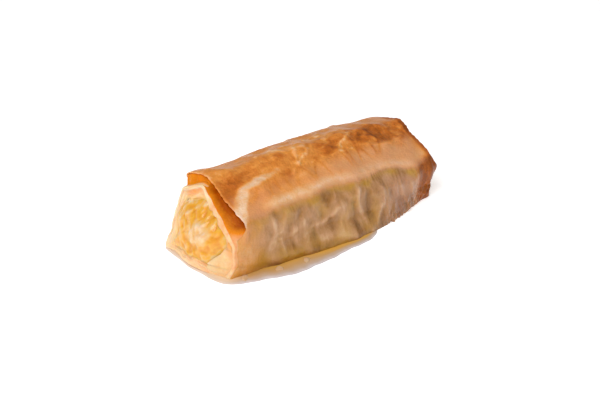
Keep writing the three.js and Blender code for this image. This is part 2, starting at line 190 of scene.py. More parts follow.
class Finish:
    """Builds one material. Each method adds a node and returns the socket that carries its result."""

    def __init__(self, name, **sockets):
        """A plain surface with even values on the shader's own sockets."""
        self.material = bpy.data.materials.new(name)
        self.material.use_nodes = True
        self.tree = self.material.node_tree
        self.shader = self.tree.nodes["Principled BSDF"]
        self.where = self.add("ShaderNodeTexCoord").outputs["Object"]
        for socket, value in sockets.items():
            self.shader.inputs[socket.replace("_", " ")].default_value = value

    def add(self, kind):
        """A new node of a kind."""
        return self.tree.nodes.new(kind)

    def feed(self, socket, value):
        """Links a result into a socket, or sets a plain value on it."""
        if isinstance(value, bpy.types.NodeSocket):
            self.tree.links.new(value, socket)
        else:
            socket.default_value = value

    def mask(self, name):
        """One of the masks that the piece carries."""
        node = self.add("ShaderNodeAttribute")
        node.attribute_name = name
        return node.outputs["Fac"]

    def noise(self, grain_mm, detail=3.0, swirl=0.0, tall=1.0):
        """Noise of a grain in millimetres, drawn out in height by `tall`."""
        stretch = self.add("ShaderNodeMapping")
        stretch.inputs["Scale"].default_value = (1.0, 1.0, 1.0 / tall)
        self.feed(stretch.inputs["Vector"], self.where)
        node = self.add("ShaderNodeTexNoise")
        self.feed(node.inputs["Vector"], stretch.outputs["Vector"])
        node.inputs["Scale"].default_value = 1.0 / (grain_mm * MM)
        node.inputs["Detail"].default_value = detail
        node.inputs["Distortion"].default_value = swirl
        return node.outputs["Fac"]

    def maths(self, operation, first, second):
        """Two values joined by one operation."""
        node = self.add("ShaderNodeMath")
        node.operation = operation
        self.feed(node.inputs[0], first)
        self.feed(node.inputs[1], second)
        return node.outputs["Value"]

    def about_half(self, noise, strength):
        """Noise shifted to swing about nought, times a strength."""
        return self.maths("MULTIPLY", self.maths("SUBTRACT", noise, 0.5), strength)

    def total(self, *values):
        """The sum of values."""
        result = values[0]
        for value in values[1:]:
            result = self.maths("ADD", result, value)
        return result

    def ramp(self, value, stops):
        """The colour at a value between stops, each a place and a colour."""
        node = self.add("ShaderNodeValToRGB")
        self.feed(node.inputs["Fac"], value)
        marks = node.color_ramp.elements
        while len(marks) < len(stops):
            marks.new(0.5)
        for mark, (spot, colour) in zip(marks, stops):
            mark.position = spot
            mark.color = colour
        return node.outputs["Color"]

    def mix(self, share, first, second):
        """The colour a share of the way from the first to the second."""
        node = self.add("ShaderNodeMix")
        node.data_type = "RGBA"
        self.feed(node.inputs["Factor"], share)
        for socket, colour in zip(MIX_COLOURS, (first, second)):
            self.feed(node.inputs[socket], colour)
        return node.outputs[MIX_RESULT]

    def between(self, share, low, high):
        """A share from 0 to 1 stretched to run from low to high."""
        node = self.add("ShaderNodeMapRange")
        self.feed(node.inputs["Value"], share)
        node.inputs["To Min"].default_value = low
        node.inputs["To Max"].default_value = high
        return node.outputs["Result"]

    def relief(self, height, depth_mm, strength):
        """Fine relief in the shading alone, of a depth in millimetres."""
        node = self.add("ShaderNodeBump")
        node.inputs["Strength"].default_value = strength
        node.inputs["Distance"].default_value = depth_mm * MM
        self.feed(node.inputs["Height"], height)
        self.feed(self.shader.inputs["Normal"], node.outputs["Normal"])

    def surface(self, **results):
        """Links results into the shader's sockets of these names."""
        for socket, result in results.items():
            self.feed(self.shader.inputs[socket.replace("_", " ")], result)


# %% [markdown]
# ### Crisp outer sheet
# The outer sheet is dry and toasted on the top and soaked low on the sides, where syrup makes it glassy
# and browner. Two materials on two sets of faces would leave a hard border, so one material holds both
# colours and a mask mixes them. Other masks paint in highlights, a sheen and shade.

# %% Finish of the crisp outer sheet
# Dry colours along the toast mask, which holds the sheet's own browning and also painted highlights and
# painted shade.
DRY_STOPS = (
    (0.0, srgb(254, 224, 200)),
    (0.22, srgb(248, 190, 134)),
    (0.45, srgb(238, 153, 70)),
    (0.7, srgb(202, 112, 38)),
    (1.0, srgb(142, 74, 20)),
)
# Soaked colours along the crest mask: dark for painted shade in furrows, pale for painted highlights on
# crests.
SOAKED_STOPS = (
    (0.0, srgb(124, 80, 26)),
    (0.35, srgb(168, 118, 66)),
    (0.65, srgb(196, 146, 100)),
    (1.0, srgb(226, 188, 148)),
)
# Pinks mixed in by the blush mask, mostly a painted sheen of white light reflected on the sheet.
BLUSH_AND_SHEEN, WET_BLUSH_AND_SHEEN = srgb(225, 162, 118), srgb(178, 126, 104)
OLIVE = srgb(192, 140, 34)
DRY_ROUGH, SOAKED_ROUGH = 0.34, 0.22
DRY_COAT, SOAKED_COAT = 0.06, 0.4


def crust_finish():
    """Dry colour from toast with painted light, and from blush with painted sheen; soaked colour from painted
    crest highlight and shade, olive and blush, mixed by the soak mask.
    """
    finish = Finish(
        "crisp_phyllo", IOR=1.45, Specular_IOR_Level=0.2, Coat_Roughness=0.16,
        Subsurface_Weight=0.2, Subsurface_Scale=0.002, Subsurface_Radius=(1.0, 0.45, 0.15),
    )
    soak, blush_and_sheen = finish.mask("soak"), finish.mask("blush_and_sheen")
    blotch = finish.noise(10.0, swirl=0.6)
    patch = finish.noise(3.2, detail=4.0)
    speck = finish.noise(0.9)
    fibre = finish.noise(1.3, swirl=1.2, tall=2.6)
    spots = finish.total(finish.about_half(blotch, 0.9), finish.about_half(patch, 0.5))
    stain = finish.maths("MULTIPLY", spots, finish.mask("mottle"))
    grain = finish.total(finish.about_half(patch, 0.36), finish.about_half(speck, 0.24))
    toast_and_light = finish.total(finish.mask("toast_and_light"), stain, grain)
    crest_highlight_and_shade = finish.total(finish.mask("crest_highlight_and_shade"), finish.about_half(patch, 0.4), finish.about_half(fibre, 0.32))
    yellow = finish.maths("MULTIPLY", finish.mask("olive"), finish.between(patch, 0.2, 1.2))
    dry = finish.mix(blush_and_sheen, finish.ramp(toast_and_light, DRY_STOPS), BLUSH_AND_SHEEN)
    wet = finish.mix(blush_and_sheen, finish.mix(yellow, finish.ramp(crest_highlight_and_shade, SOAKED_STOPS), OLIVE), WET_BLUSH_AND_SHEEN)
    finish.surface(
        Base_Color=finish.mix(soak, dry, wet),
        Roughness=finish.between(soak, DRY_ROUGH, SOAKED_ROUGH),
        Coat_Weight=finish.between(soak, DRY_COAT, SOAKED_COAT),
    )
    finish.relief(finish.total(patch, finish.about_half(speck, 0.5)), depth_mm=0.5, strength=0.8)
    return finish.material


crisp_phyllo = crust_finish()
print("finish:", crisp_phyllo.name, len(crisp_phyllo.node_tree.nodes), "nodes")

# %% [markdown]
# ### Inner sheets
# The sheets inside are paler and moist, and deep in the folds they glow orange, because light passes
# through several layers. Light traced through real layers would be slow and noisy, so that glow is painted
# in by a mask that says how deep a place lies, and the same mask paints the shade in the gap under the flap.

# %% Finish of the inner sheets
# Colours along the glow mask: cream at free edges, orange as painted glow, and darkest as painted shade deep
# in the gap under the flap.
INNER_STOPS = (
    (0.0, srgb(248, 224, 188)),
    (0.3, srgb(242, 198, 148)),
    (0.42, srgb(240, 172, 116)),
    (0.6, srgb(240, 144, 26)),
    (1.0, srgb(168, 78, 0)),
)
WET_YELLOW = srgb(240, 186, 92)


def inner_finish():
    """Cream at free edges to deep orange in the folds, by the mask of painted glow and shade, and yellower by
    the wet mask.
    """
    finish = Finish(
        "inner_phyllo", IOR=1.45, Specular_IOR_Level=0.08, Coat_Roughness=0.12,
        Subsurface_Weight=0.3, Subsurface_Scale=0.002, Subsurface_Radius=(1.0, 0.5, 0.15),
    )
    blotch = finish.noise(3.5, detail=4.0)
    speck = finish.noise(0.8)
    pleat = finish.noise(1.4, detail=4.0)
    glow_and_shade = finish.total(finish.mask("glow_and_shade"), finish.about_half(blotch, 0.3), finish.about_half(speck, 0.12))
    wet = finish.maths("MULTIPLY", finish.mask("wet"), finish.between(blotch, 0.1, 1.4))
    finish.surface(
        Base_Color=finish.mix(wet, finish.ramp(glow_and_shade, INNER_STOPS), WET_YELLOW),
        Roughness=finish.between(speck, 0.35, 0.55),
        Coat_Weight=finish.mask("gloss"),
    )
    finish.relief(finish.total(pleat, finish.about_half(speck, 0.5)), depth_mm=0.4, strength=0.7)
    return finish.material


inner_phyllo = inner_finish()
print("finish:", inner_phyllo.name, len(inner_phyllo.node_tree.nodes), "nodes")

# %% [markdown]
# ### Custard and syrup
# Custard lets light in and spreads it, so it has more light under its surface than the pastry. The syrup
# is a film less than a millimetre deep over most of its width. A clear material would need a very clean
# render, so the film is opaque and takes the colours that it has over a white table. It is lighter at the
# near end as painted light, and its grey-lilac outer edge is partly painted soft shadow.

# %% Finish of the custard
CUSTARD_STOPS = (
    (0.0, srgb(224, 150, 30)),
    (0.35, srgb(232, 170, 50)),
    (0.65, srgb(228, 182, 116)),
    (1.0, srgb(232, 200, 164)),
)


def custard_finish():
    """Deep yellow in the hollows to cream on the lumps, from the cream mask, with semolina grain."""
    finish = Finish(
        "semolina_custard", IOR=1.42, Coat_Weight=0.45, Coat_Roughness=0.1,
        Subsurface_Weight=0.7, Subsurface_Scale=0.004, Subsurface_Radius=(1.0, 0.6, 0.2),
    )
    blotch = finish.noise(3.0, detail=4.0)
    grain = finish.noise(0.7, detail=2.0)
    cream = finish.total(finish.mask("cream"), finish.about_half(blotch, 0.5), finish.about_half(grain, 0.2))
    finish.surface(Base_Color=finish.ramp(cream, CUSTARD_STOPS), Roughness=finish.between(grain, 0.25, 0.5))
    finish.relief(finish.total(grain, finish.about_half(blotch, 1.5)), depth_mm=0.25, strength=0.5)
    return finish.material


semolina_custard = custard_finish()
print("finish:", semolina_custard.name, len(semolina_custard.node_tree.nodes), "nodes")

# %% Finish of the syrup
# The thinnest film's grey-lilac is partly a painted soft shadow on the table.
SYRUP_STOPS = (
    (0.0, srgb(222, 214, 216)),
    (0.2, srgb(200, 176, 156)),
    (0.5, srgb(202, 160, 106)),
    (0.8, srgb(216, 164, 80)),
    (1.0, srgb(216, 156, 62)),
)
# Painted light: the lighter colour of the film at the lit near end, laid over its shade.
LIT_SYRUP = srgb(244, 216, 184)


def syrup_finish():
    """Pale where the film is thin and the white table shows through, its grey-lilac partly painted soft
    shadow, amber where it is deep, lighter at the near end as painted light, by masks.
    """
    finish = Finish(
        "clear_syrup", Roughness=0.2, IOR=1.42, Specular_IOR_Level=0.2, Coat_Weight=0.25, Coat_Roughness=0.06,
    )
    ripple = finish.noise(5.0, detail=2.0)
    deep = finish.ramp(finish.total(finish.mask("depth"), finish.about_half(ripple, 0.2)), SYRUP_STOPS)
    finish.surface(Base_Color=finish.mix(finish.mask("painted_light"), deep, LIT_SYRUP))
    finish.relief(ripple, depth_mm=0.3, strength=0.4)
    return finish.material


clear_syrup = syrup_finish()
print("finish:", clear_syrup.name, len(clear_syrup.node_tree.nodes), "nodes")

# %% [markdown]
# ## The roll's section
# Seen from its end the roll is a rounded polygon: a flat base, two sides and a ridged top. Each side is a
# facet with a tilt and a distance from the roll's axis, and the distances change along the roll. A loft
# between drawn outlines would also do, but a formula gives the radius at any place, so wrinkles can be
# added to it. A tilt of 90 degrees is the top, 180 the front, 0 the back and -90, which is also 270, the
# underside.

# %% Section of the roll
HALF_LENGTH = 62.5  # from the middle to the far edge of the outer sheet
AXIS_HEIGHT = 17.0  # the roll's axis above the table
CORNER_POWER = 20  # higher is sharper where facets meet
GIRTH = 25.0  # radius that turns a tilt into a length round the roll
LEAST_FALL = 1e-6  # keeps a division clear of nought
OUTER_FACETS = (  # tilt, distance near, in the middle and far, share of the slump
    (192, 24.4, 27.8, 24.2, 5.6),
    (174, 25.4, 26.6, 27.2, 1.6),
    (138, 22.2, 23.8, 17.6, 0.0),
    (115, 17.2, 19.6, 12.6, 0.0),
    (76, 20.6, 21.0, 14.8, 0.0),
    (22, 21.8, 23.4, 20.5, 0.0),
    (5, 23.0, 25.5, 24.0, 0.0),
    (-12, 24.0, 24.5, 23.0, 0.0),
)
SLUMPS = ((22, 19, 1.0), (46, 4, 0.3), (58, 3.5, 0.35))  # x, width and share of each sunken place


def along_roll(x, near, middle, far):
    """The value at x of the parabola through the near, middle and far values."""
    s = np.clip(x / HALF_LENGTH, -1.0, 1.0)
    return near * s * (s - 1.0) / 2.0 + middle * (1.0 - s * s) + far * s * (s + 1.0) / 2.0


def cut_by_base(radius, tilt):
    """A radius kept above the table: no more than the axis height over minus the sine of the tilt."""
    down = np.maximum(-np.sin(np.radians(tilt)), LEAST_FALL)
    return np.minimum(radius, AXIS_HEIGHT / down)


def polygon_radius(tilt, facets):
    """Rounded polygon: one over the root of the sum of (cosine to a facet / distance) to the same power."""
    total = 0.0
    for facet_tilt, distance in facets:
        facing = np.maximum(np.cos(np.radians(tilt - facet_tilt)), 0.0)
        total = total + (facing / distance) ** CORNER_POWER
    return cut_by_base(total ** (-1.0 / CORNER_POWER), tilt)


def section_radius(x, tilt):
    """The rounded polygon whose facets' distances follow the roll and slump at its foot."""
    slump = sum(share * bump(x - at, width) for at, width, share in SLUMPS)
    facets = [(at, along_roll(x, *distances) + sag * slump) for at, *distances, sag in OUTER_FACETS]
    return polygon_radius(tilt, facets)


def place(x, tilt, radius):
    """A point from its length along the roll, its tilt round it and its distance from the axis."""
    angle = np.radians(tilt)
    return np.stack(np.broadcast_arrays(x, radius * np.cos(angle), AXIS_HEIGHT + radius * np.sin(angle)), -1)


print("middle section, top and front:", section_radius(0.0, np.array([90.0, 180.0])).round(1))

# %% [markdown]
# ## Folds, soaked side and crinkles
# The top sheet dried into one long fold with a hollow above it and small creases. Below a shoulder line
# the sheets drank syrup, drew in and hang in soft folds. Displacing with noise alone would look like
# rock, so the folds that show in the photo are short paths on the unrolled sheet, and noise only fills in
# between them. The back can't be seen, so it is finished like the front, as if the roll were turned half
# round.

# %% Paths on the unrolled sheet
STRAY_ALONG, STRAY_ROUND = 0.45, 1.0  # how far a drawn line wavers, in millimetres and in degrees


def unrolled(x, tilt, stretch=1.0):
    """Points on the sheet laid flat: x, the girth over a stretch, and nought."""
    return np.stack(np.broadcast_arrays(x, np.radians(tilt) * GIRTH / stretch, 0.0), -1)


def oval(x, tilt, at, turn, half_length, half_girth):
    """A smooth oval hill of height 1 on the sheet: one bump along the roll times one round it."""
    return bump(x - at, half_length) * bump(np.radians(tilt - turn) * GIRTH, half_girth)


def from_chain(u, v, spots):
    """Length in a plane to a chain of straight lines, -1 or 1 for its side, and spots passed along it."""
    nearest = np.full(np.broadcast(u, v).shape, np.inf)
    side, along = np.zeros(nearest.shape), np.zeros(nearest.shape)
    for i, ((u0, v0), (u1, v1)) in enumerate(zip(spots, spots[1:])):
        step = np.array([u1 - u0, v1 - v0])
        share = np.clip(((u - u0) * step[0] + (v - v0) * step[1]) / (step @ step), 0.0, 1.0)
        away = np.hypot(u - u0 - share * step[0], v - v0 - share * step[1])
        cross = step[0] * (v - v0) - step[1] * (u - u0)
        side = np.where(away < nearest, np.sign(cross), side)
        along = np.where(away < nearest, i + share, along)
        nearest = np.minimum(nearest, away)
    return nearest, side, along


def from_path(x, tilt, path):
    """The same for a path of x and tilt on the unrolled sheet."""
    return from_chain(x, np.radians(tilt) * GIRTH, [(at, math.radians(turn) * GIRTH) for at, turn in path])


def strayed(x, tilt):
    """The same places moved a little by noise, so that lines drawn on them waver."""
    flat = unrolled(x, tilt)
    along = STRAY_ALONG * wave_noise(flat, wave=7.0, seed=15)
    return x + along, tilt + STRAY_ROUND * wave_noise(flat, wave=6.0, seed=16)


# %% The long fold of the top
FOLD_PATH = (  # x and tilt along its crest
    (-53.1, 158), (-50, 149), (-47.8, 141), (-42.9, 126), (-38.4, 124), (-34.2, 122), (-29.2, 120),
    (-24, 118), (-19, 114),
)
FACE_WIDTHS = (7.0, 6.4, 5.8, 5.6, 5.4, 5.0, 4.6, 3.8, 2.6)  # of its upper face, at each spot of the path
FACE_STEEP = 0.6  # share of the face's width over which it falls
FOLD_BACK = 5.0  # width on its lower side
FOLD_END = (-32.0, -18.0)  # x where it dies out


def above_fold(x, tilt):
    """Length up from the long fold's crest, negative below it, and the width of its upper face there."""
    away, side, along = from_path(*strayed(x, tilt), FOLD_PATH)
    return -side * away, np.interp(along, range(len(FACE_WIDTHS)), FACE_WIDTHS)


def long_fold(x, tilt):
    """A ridge of height 1, steep on its upper face and gentle on its back, that dies out along the roll."""
    up, face = above_fold(x, tilt)
    return bump(up, np.where(up > 0.0, FACE_STEEP * face, FOLD_BACK)) * fade(x, *FOLD_END)


print("long fold: from x", FOLD_PATH[0][0], "to", FOLD_PATH[-1][0], "mm")

# %% Small creases of the top and the back
CREASES = (  # path of x and tilt, height, width
    (((-18, 126), (-13, 118), (-9, 111), (-5, 106), (-2, 101)), 0.6, 0.9),
    (((-12, 113), (-10.5, 104), (-9, 96), (-8, 88)), 0.55, 0.8),
    (((11, 118), (16, 109), (22, 101), (27, 92)), 0.8, 1.3),
    (((8, 121), (13, 119), (20, 121)), 0.4, 0.8),
    (((30, 122), (38, 130), (46, 131), (52, 128)), 0.45, 1.3),
    (((-18, 80), (-15, 86), (-12, 92)), 0.4, 1.0),
    (((30, 104), (35, 112), (37, 120)), 0.4, 0.9),
    (((4, 74), (10, 66), (16, 63)), 0.4, 1.0),
    (((-46, 36), (-36, 28), (-22, 31), (-10, 25)), 0.7, 1.4),
    (((-18, 20), (-6, 25), (6, 20)), 0.5, 1.1),
    (((2, 38), (14, 31), (30, 34), (46, 28)), 0.7, 1.4),
    (((22, 22), (34, 18), (50, 21)), 0.5, 1.1),
)
CREASE_MEAN, CREASE_SWAY = 0.85, 0.25  # mean share of their height, and how far noise changes it


def creased(x, tilt):
    """Height of the small creases: hills along wavering paths, uneven along their length."""
    uneven = CREASE_MEAN + CREASE_SWAY * wave_noise(unrolled(x, tilt), wave=6.0, seed=17)
    hills = (height * bump(from_path(*strayed(x, tilt), path)[0], width) for path, height, width in CREASES)
    return sum(hills) * uneven


print("creases:", len(CREASES))

# %% Shoulder line and soaked side
SHOULDER = (158, 158.5, 176)  # its tilt near, in the middle and far
BACK_FROM = 60.0  # below this tilt the roll's back begins, which is finished like the front
TURNS_UNDER = (222.0, 240.0)  # tilts where the front turns under
SOAK_BLUR, BLUR_CHANGE = (2.8, 1.4), (4.0, 24.0)  # width of its border near and far, and x where that changes
CORNER_SOAK = 0.5  # share of the syrup at the near corner
SOAK_FROM, SOAK_TO = (-57.0, -41.0), (44.0, 52.0)  # x where it is soaked through, and where it ends


def either_side(x, tilt):
    """Places on the back as places on the front: the roll turned half round an upright line."""
    back = tilt < BACK_FROM
    return np.where(back, -x, x), np.where(back, 180.0 - tilt, tilt)


def below_shoulder(x, tilt):
    """Length on the sheet below the uneven shoulder line, negative above it."""
    uneven = 0.9 * wave_noise(unrolled(x, tilt, 4.0), wave=13.0, seed=33)
    uneven = uneven + 0.2 * wave_noise(unrolled(x, tilt, 3.0), wave=5.0, seed=34)
    return np.radians(tilt - along_roll(x, *SHOULDER)) * GIRTH + uneven


def front_side(x, tilt, blur):
    """1 on the front below the shoulder line, fading over a blur across it, 0 on the top and underneath."""
    return smoothstep(below_shoulder(x, tilt), -blur, blur) * fade(tilt, *TURNS_UNDER)


def soaked(x, tilt):
    """How far syrup soaked the front side: half at the near corner, none on the dry top and the far end."""
    blur = lerp(*SOAK_BLUR, smoothstep(x, *BLUR_CHANGE))
    return front_side(x, tilt, blur) * lerp(CORNER_SOAK, 1.0, smoothstep(x, *SOAK_FROM)) * fade(x, *SOAK_TO)


print("soaked in the middle of the front:", soaked(np.array(0.0), np.array(185.0)).round(2))

# %% Hanging folds of the soaked side
HANGING_FOLDS = (  # path of x and tilt, height or depth, width
    (((-40, 168), (-39, 179), (-39, 193)), 0.5, 1.7),
    (((-36, 190), (-34, 206)), 0.6, 0.8),
    (((-33, 163), (-34, 172), (-36, 182)), 0.5, 1.4),
    (((-28, 185), (-30, 191), (-27, 200)), 0.7, 1.5),
    (((-23, 180), (-23, 192), (-23, 204)), 0.6, 1.8),
    (((-4, 180), (-7, 186), (-11, 190), (-18, 191)), 0.7, 1.4),
    (((-1, 180), (0, 191), (-2, 202)), 0.6, 2.2),
    (((8, 170), (8, 186), (10, 198), (14, 207)), 0.7, 1.3),
    (((24, 180), (23, 189), (25, 199), (29, 208)), 0.5, 1.6),
    (((22, 193), (19, 198), (17, 203)), 0.7, 1.0),
    (((36, 184), (37, 193), (39, 201)), 0.6, 1.2),
    (((42, 180), (43, 196)), 0.5, 1.2),
    (((-15, 201.5), (-9.5, 201.5), (-4, 202.5), (3, 204)), 1.3, 1.4),
    (((-19, 206), (-11, 206), (-3, 207), (4, 208)), -0.4, 1.2),
    (((-38, 160), (-37, 168)), -0.6, 1.5),
    (((-31, 178), (-32, 188), (-29, 202)), -0.6, 1.4),
    (((-24, 170), (-28, 177)), -0.4, 1.4),
    (((-10, 159), (-10, 167)), -0.5, 1.5),
    (((-5, 160), (-8, 169), (-9, 175)), -0.4, 1.3),
    (((-8, 190), (-8, 201)), -0.6, 1.4),
    (((5, 181), (6, 191), (5, 201)), -0.6, 1.6),
    (((13, 180), (13, 190), (14, 198)), -0.7, 2.2),
    (((29, 187), (29, 191)), -0.5, 1.4),
    (((-61, 205), (-46, 211), (-28, 213), (-12, 213)), -0.7, 1.1),
)
STREAK_HEIGHT = 0.2  # of the swaying streaks between those folds
FIBRE_HEIGHTS = (0.08, 0.15)  # of the finest streaks, elsewhere and high on the far half
FIBRE_FROM, FIBRE_TO = (2.0, 24.0), (186.0, 200.0)  # x where that half begins, and tilts where it ends


def hanging(x, tilt):
    """Crests and furrows along short paths, with swaying streaks of noise between them."""
    sway = wave_noise(unrolled(x, tilt), wave=12.0, seed=35)
    folds = STREAK_HEIGHT * wave_noise(unrolled(x + 2.0 * sway, tilt, 2.4), wave=4.4, seed=31)
    fibres = smoothstep(x, *FIBRE_FROM) * fade(tilt, *FIBRE_TO)
    fine = wave_noise(unrolled(x + sway, tilt, 5.0), wave=1.9, seed=36)
    folds = folds + lerp(*FIBRE_HEIGHTS, fibres) * fine
    for path, height, width in HANGING_FOLDS:
        folds = folds + height * bump(from_path(x, tilt, path)[0], width)
    return folds


print("hanging folds:", len(HANGING_FOLDS))

# %% Crumples, blisters and the top's sinking back edge
RIDGE_WIDTH = 0.4  # of the ridges along a noise's nought lines
PEAKS = (0.8, 1.8)  # heights of a noise between which blisters rise
BLISTER_TILT, BLISTER_WIDTH = 78.0, 24.0
TOP_TILT, TOP_WIDTH, SLOPE_TILT, SLOPE_WIDTH = 102.0, 24.0, 34.0, 16.0  # the top's band, and the back's slope
MOTTLED_FROM, LEAST_MOTTLE = (-12.0, 18.0), 0.35  # x where the far half begins, and the share elsewhere
BACK_SAG = 0.8  # how far the top's back edge sinks
SAG_RISE, SAG_FALL, SAG_TILT, SAG_WIDTH = (-52.0, -38.0), (26.0, 44.0), 54.0, 20.0
DIP_AT, DIP_WIDTH = -20.0, 13.0  # where it sinks twice as far


def crumple(x, tilt):
    """Noise on the unrolled sheet, and soft ridges along the nought lines of a finer one."""
    flat = unrolled(x, tilt)
    sway = wave_noise(flat, wave=17.0, seed=13)
    ridges = bump(wave_noise(unrolled(x + 3.0 * sway, tilt), wave=8.5, seed=12), RIDGE_WIDTH)
    return wave_noise(flat, wave=14.0, seed=11), ridges


def blisters(x, tilt):
    """Small raised spots along the back of the top: the peaks of noise."""
    peaks = smoothstep(wave_noise(unrolled(x, tilt), wave=5.5, seed=14), *PEAKS)
    return peaks * bump(tilt - BLISTER_TILT, BLISTER_WIDTH)


def mottled(x, tilt):
    """1 along the crumpled far half of the top, a third along its near half and on the back's slope."""
    top = bump(tilt - TOP_TILT, TOP_WIDTH) * lerp(LEAST_MOTTLE, 1.0, smoothstep(x, *MOTTLED_FROM))
    return top + LEAST_MOTTLE * bump(tilt - SLOPE_TILT, SLOPE_WIDTH)


def back_sag(x, tilt):
    """How far the top's back edge sinks: evenly along the roll, and as much again at the dip."""
    twice = 1.0 + bump(x - DIP_AT, DIP_WIDTH)
    return BACK_SAG * plateau(x, SAG_RISE, SAG_FALL) * twice * bump(tilt - SAG_TILT, SAG_WIDTH)


print("top's back edge sinks by up to", back_sag(np.array(DIP_AT), np.array(SAG_TILT)).round(1), "mm")


# %% All the relief of the outer sheet
FOLD_HEIGHT, BLISTER_HEIGHT = 1.6, 0.35
HOLLOW, HOLLOW_DEPTH = (-50.0, 108.0, 9.0, 7.0), 1.2  # x, tilt, half length and half girth, above the fold
SHRINK, SHRINK_FROM = 0.8, (-56.0, -40.0)  # how far the soaked sheets drew in, and x where that starts
SHRINK_BLUR, HANG_BLUR = 3.0, 1.2  # widths of their borders at the shoulder
HANG_HEIGHT = 0.62  # of the hanging folds
SWELLS = ((0.5, 41, 2, 0.6), (0.4, 23, 3, 2.1), (0.3, 13, 5, 4.0))  # height, wave along, waves round, phase
FIELD_HEIGHT = 0.2  # of the crumples' noise
RIDGE_HEIGHTS = (0.06, 0.3)  # of the crumples' ridges, on plain and on mottled places
RAGGED_HEIGHT, RAGGED_FROM = 1.3, (20.0, 30.0)  # of the far half's ragged foot, and x where it starts
RAGGED_TILT, RAGGED_WIDTH = 207.0, 6.0
BASE_SINES = (-0.75, -0.2)  # sines of the tilts between which relief fades in above the base


def clear_of_base(tilt):
    """0 on the underside, 1 above it, so that relief fades out where the roll rests."""
    return smoothstep(np.sin(np.radians(tilt)), *BASE_SINES)


def sheet_relief(x, tilt):
    """Height of the outer sheet over its section: fold, hollow, creases, hanging folds, swells, wrinkles."""
    height = FOLD_HEIGHT * long_fold(x, tilt) - HOLLOW_DEPTH * oval(x, tilt, *HOLLOW)
    height = height + BLISTER_HEIGHT * blisters(x, tilt) + creased(x, tilt) - back_sag(x, tilt)
    side = either_side(x, tilt)
    drawn = front_side(*side, SHRINK_BLUR) * smoothstep(side[0], *SHRINK_FROM)
    height = height - SHRINK * drawn + HANG_HEIGHT * front_side(*side, HANG_BLUR) * hanging(*side)
    for swell, wave, turns, phase in SWELLS:
        round_roll = np.cos(turns * np.radians(tilt) + phase)
        height = height + swell * np.sin(2.0 * np.pi * x / wave + phase) * round_roll
    field, ridge = crumple(x, tilt)
    wrinkles = FIELD_HEIGHT * field + lerp(*RIDGE_HEIGHTS, mottled(x, tilt)) * ridge
    ragged = wave_noise(unrolled(x, tilt), wave=2.6, seed=37) * smoothstep(x, *RAGGED_FROM)
    ragged = RAGGED_HEIGHT * ragged * bump(tilt - RAGGED_TILT, RAGGED_WIDTH)
    return (height + (1.0 - drawn) * wrinkles + ragged) * clear_of_base(tilt)


relief_sample = sheet_relief(np.linspace(-50.0, 60.0, 45)[:, None], np.linspace(0.0, 200.0, 45)[None, :])
print("relief of the outer sheet:", relief_sample.min().round(1), "to", relief_sample.max().round(1), "mm")

# %% [markdown]
# ## The outer sheet
# The outer sheet is a thin tube. Over the near end it stops short and curls up as a flap, and low on both
# sides it runs on to the end. It could be a plane with a thickness modifier, but as one closed grid its
# free edges can be rounded and its underside can be coarse. Rows run along the roll and columns run round
# it.

# %% Where the sheets end at the near end
NEAR_RIM, RIM_LEAN = -61.2, 3.0  # x of the inner sheets' rim at the axis, and its lean back to the top
FOOT_SWELL = 3.3  # how far the foot of the near end stands out
TIP_TILT, TIP_WIDTH, TIP_REACH = -38.0, 7.0, 1.8  # the foot's back corner is pointed
CORNER_TILT, CORNER_WIDTH, CORNER_BACK = 207.0, 16.0, 2.8  # the foot's front corner is drawn back
FLAP_LINE = (  # tilt and x of the flap's edge
    (88, -53.9), (112, -54.1), (137, -54.8), (150, -54.9), (159, -54.3), (168, -54.6),
)
FLAP_FRONT, FLAP_REAR = (160.0, 184.0), (-30.0, -8.0)  # tilts where the flap ends on the front and the back
FLAP_RAGGED = ((0.15, 11, 0), (0.12, 31, 0), (0.1, 53, 0))  # height, waves round, phase
TAB_BACK, TAB_TILTS = 7.0, (20.0, 44.0)  # how far the flap draws back behind its upper corner, and where
RIM_MARGIN = 0.8  # the outer sheet stops this far behind the rim where it is no flap


def waves_round(tilt, waves):
    """The sum of sine waves round the roll, each with a height, a number of waves and a phase."""
    return sum(height * np.sin(count * np.radians(tilt) + phase) for height, count, phase in waves)


def flap_share(tilt):
    """1 where the outer sheet is a free flap over the top, 0 where it runs on to the rim."""
    return np.where(tilt > 90.0, fade(tilt, *FLAP_FRONT), smoothstep(tilt, *FLAP_REAR))


def near_rim(tilt):
    """x of the inner sheets' rim: it leans, and at its foot one corner is pointed and one is drawn back."""
    height = np.sin(np.radians(tilt))
    foot = FOOT_SWELL * np.maximum(-height, 0.0) ** 3 + TIP_REACH * bump(tilt - TIP_TILT, TIP_WIDTH)
    return NEAR_RIM + RIM_LEAN * height - foot + CORNER_BACK * bump(tilt - CORNER_TILT, CORNER_WIDTH)


def flap_edge(tilt):
    """x of the outer sheet's near edge: the flap's ragged edge along its line, or just behind the rim."""
    line = np.interp(tilt, *zip(*FLAP_LINE)) + waves_round(tilt, FLAP_RAGGED)
    return lerp(near_rim(tilt) + RIM_MARGIN, line + TAB_BACK * fade(tilt, *TAB_TILTS), flap_share(tilt))


print("flap's edge at the top and low on the front: x", flap_edge(np.array([100.0, 200.0])).round(1))

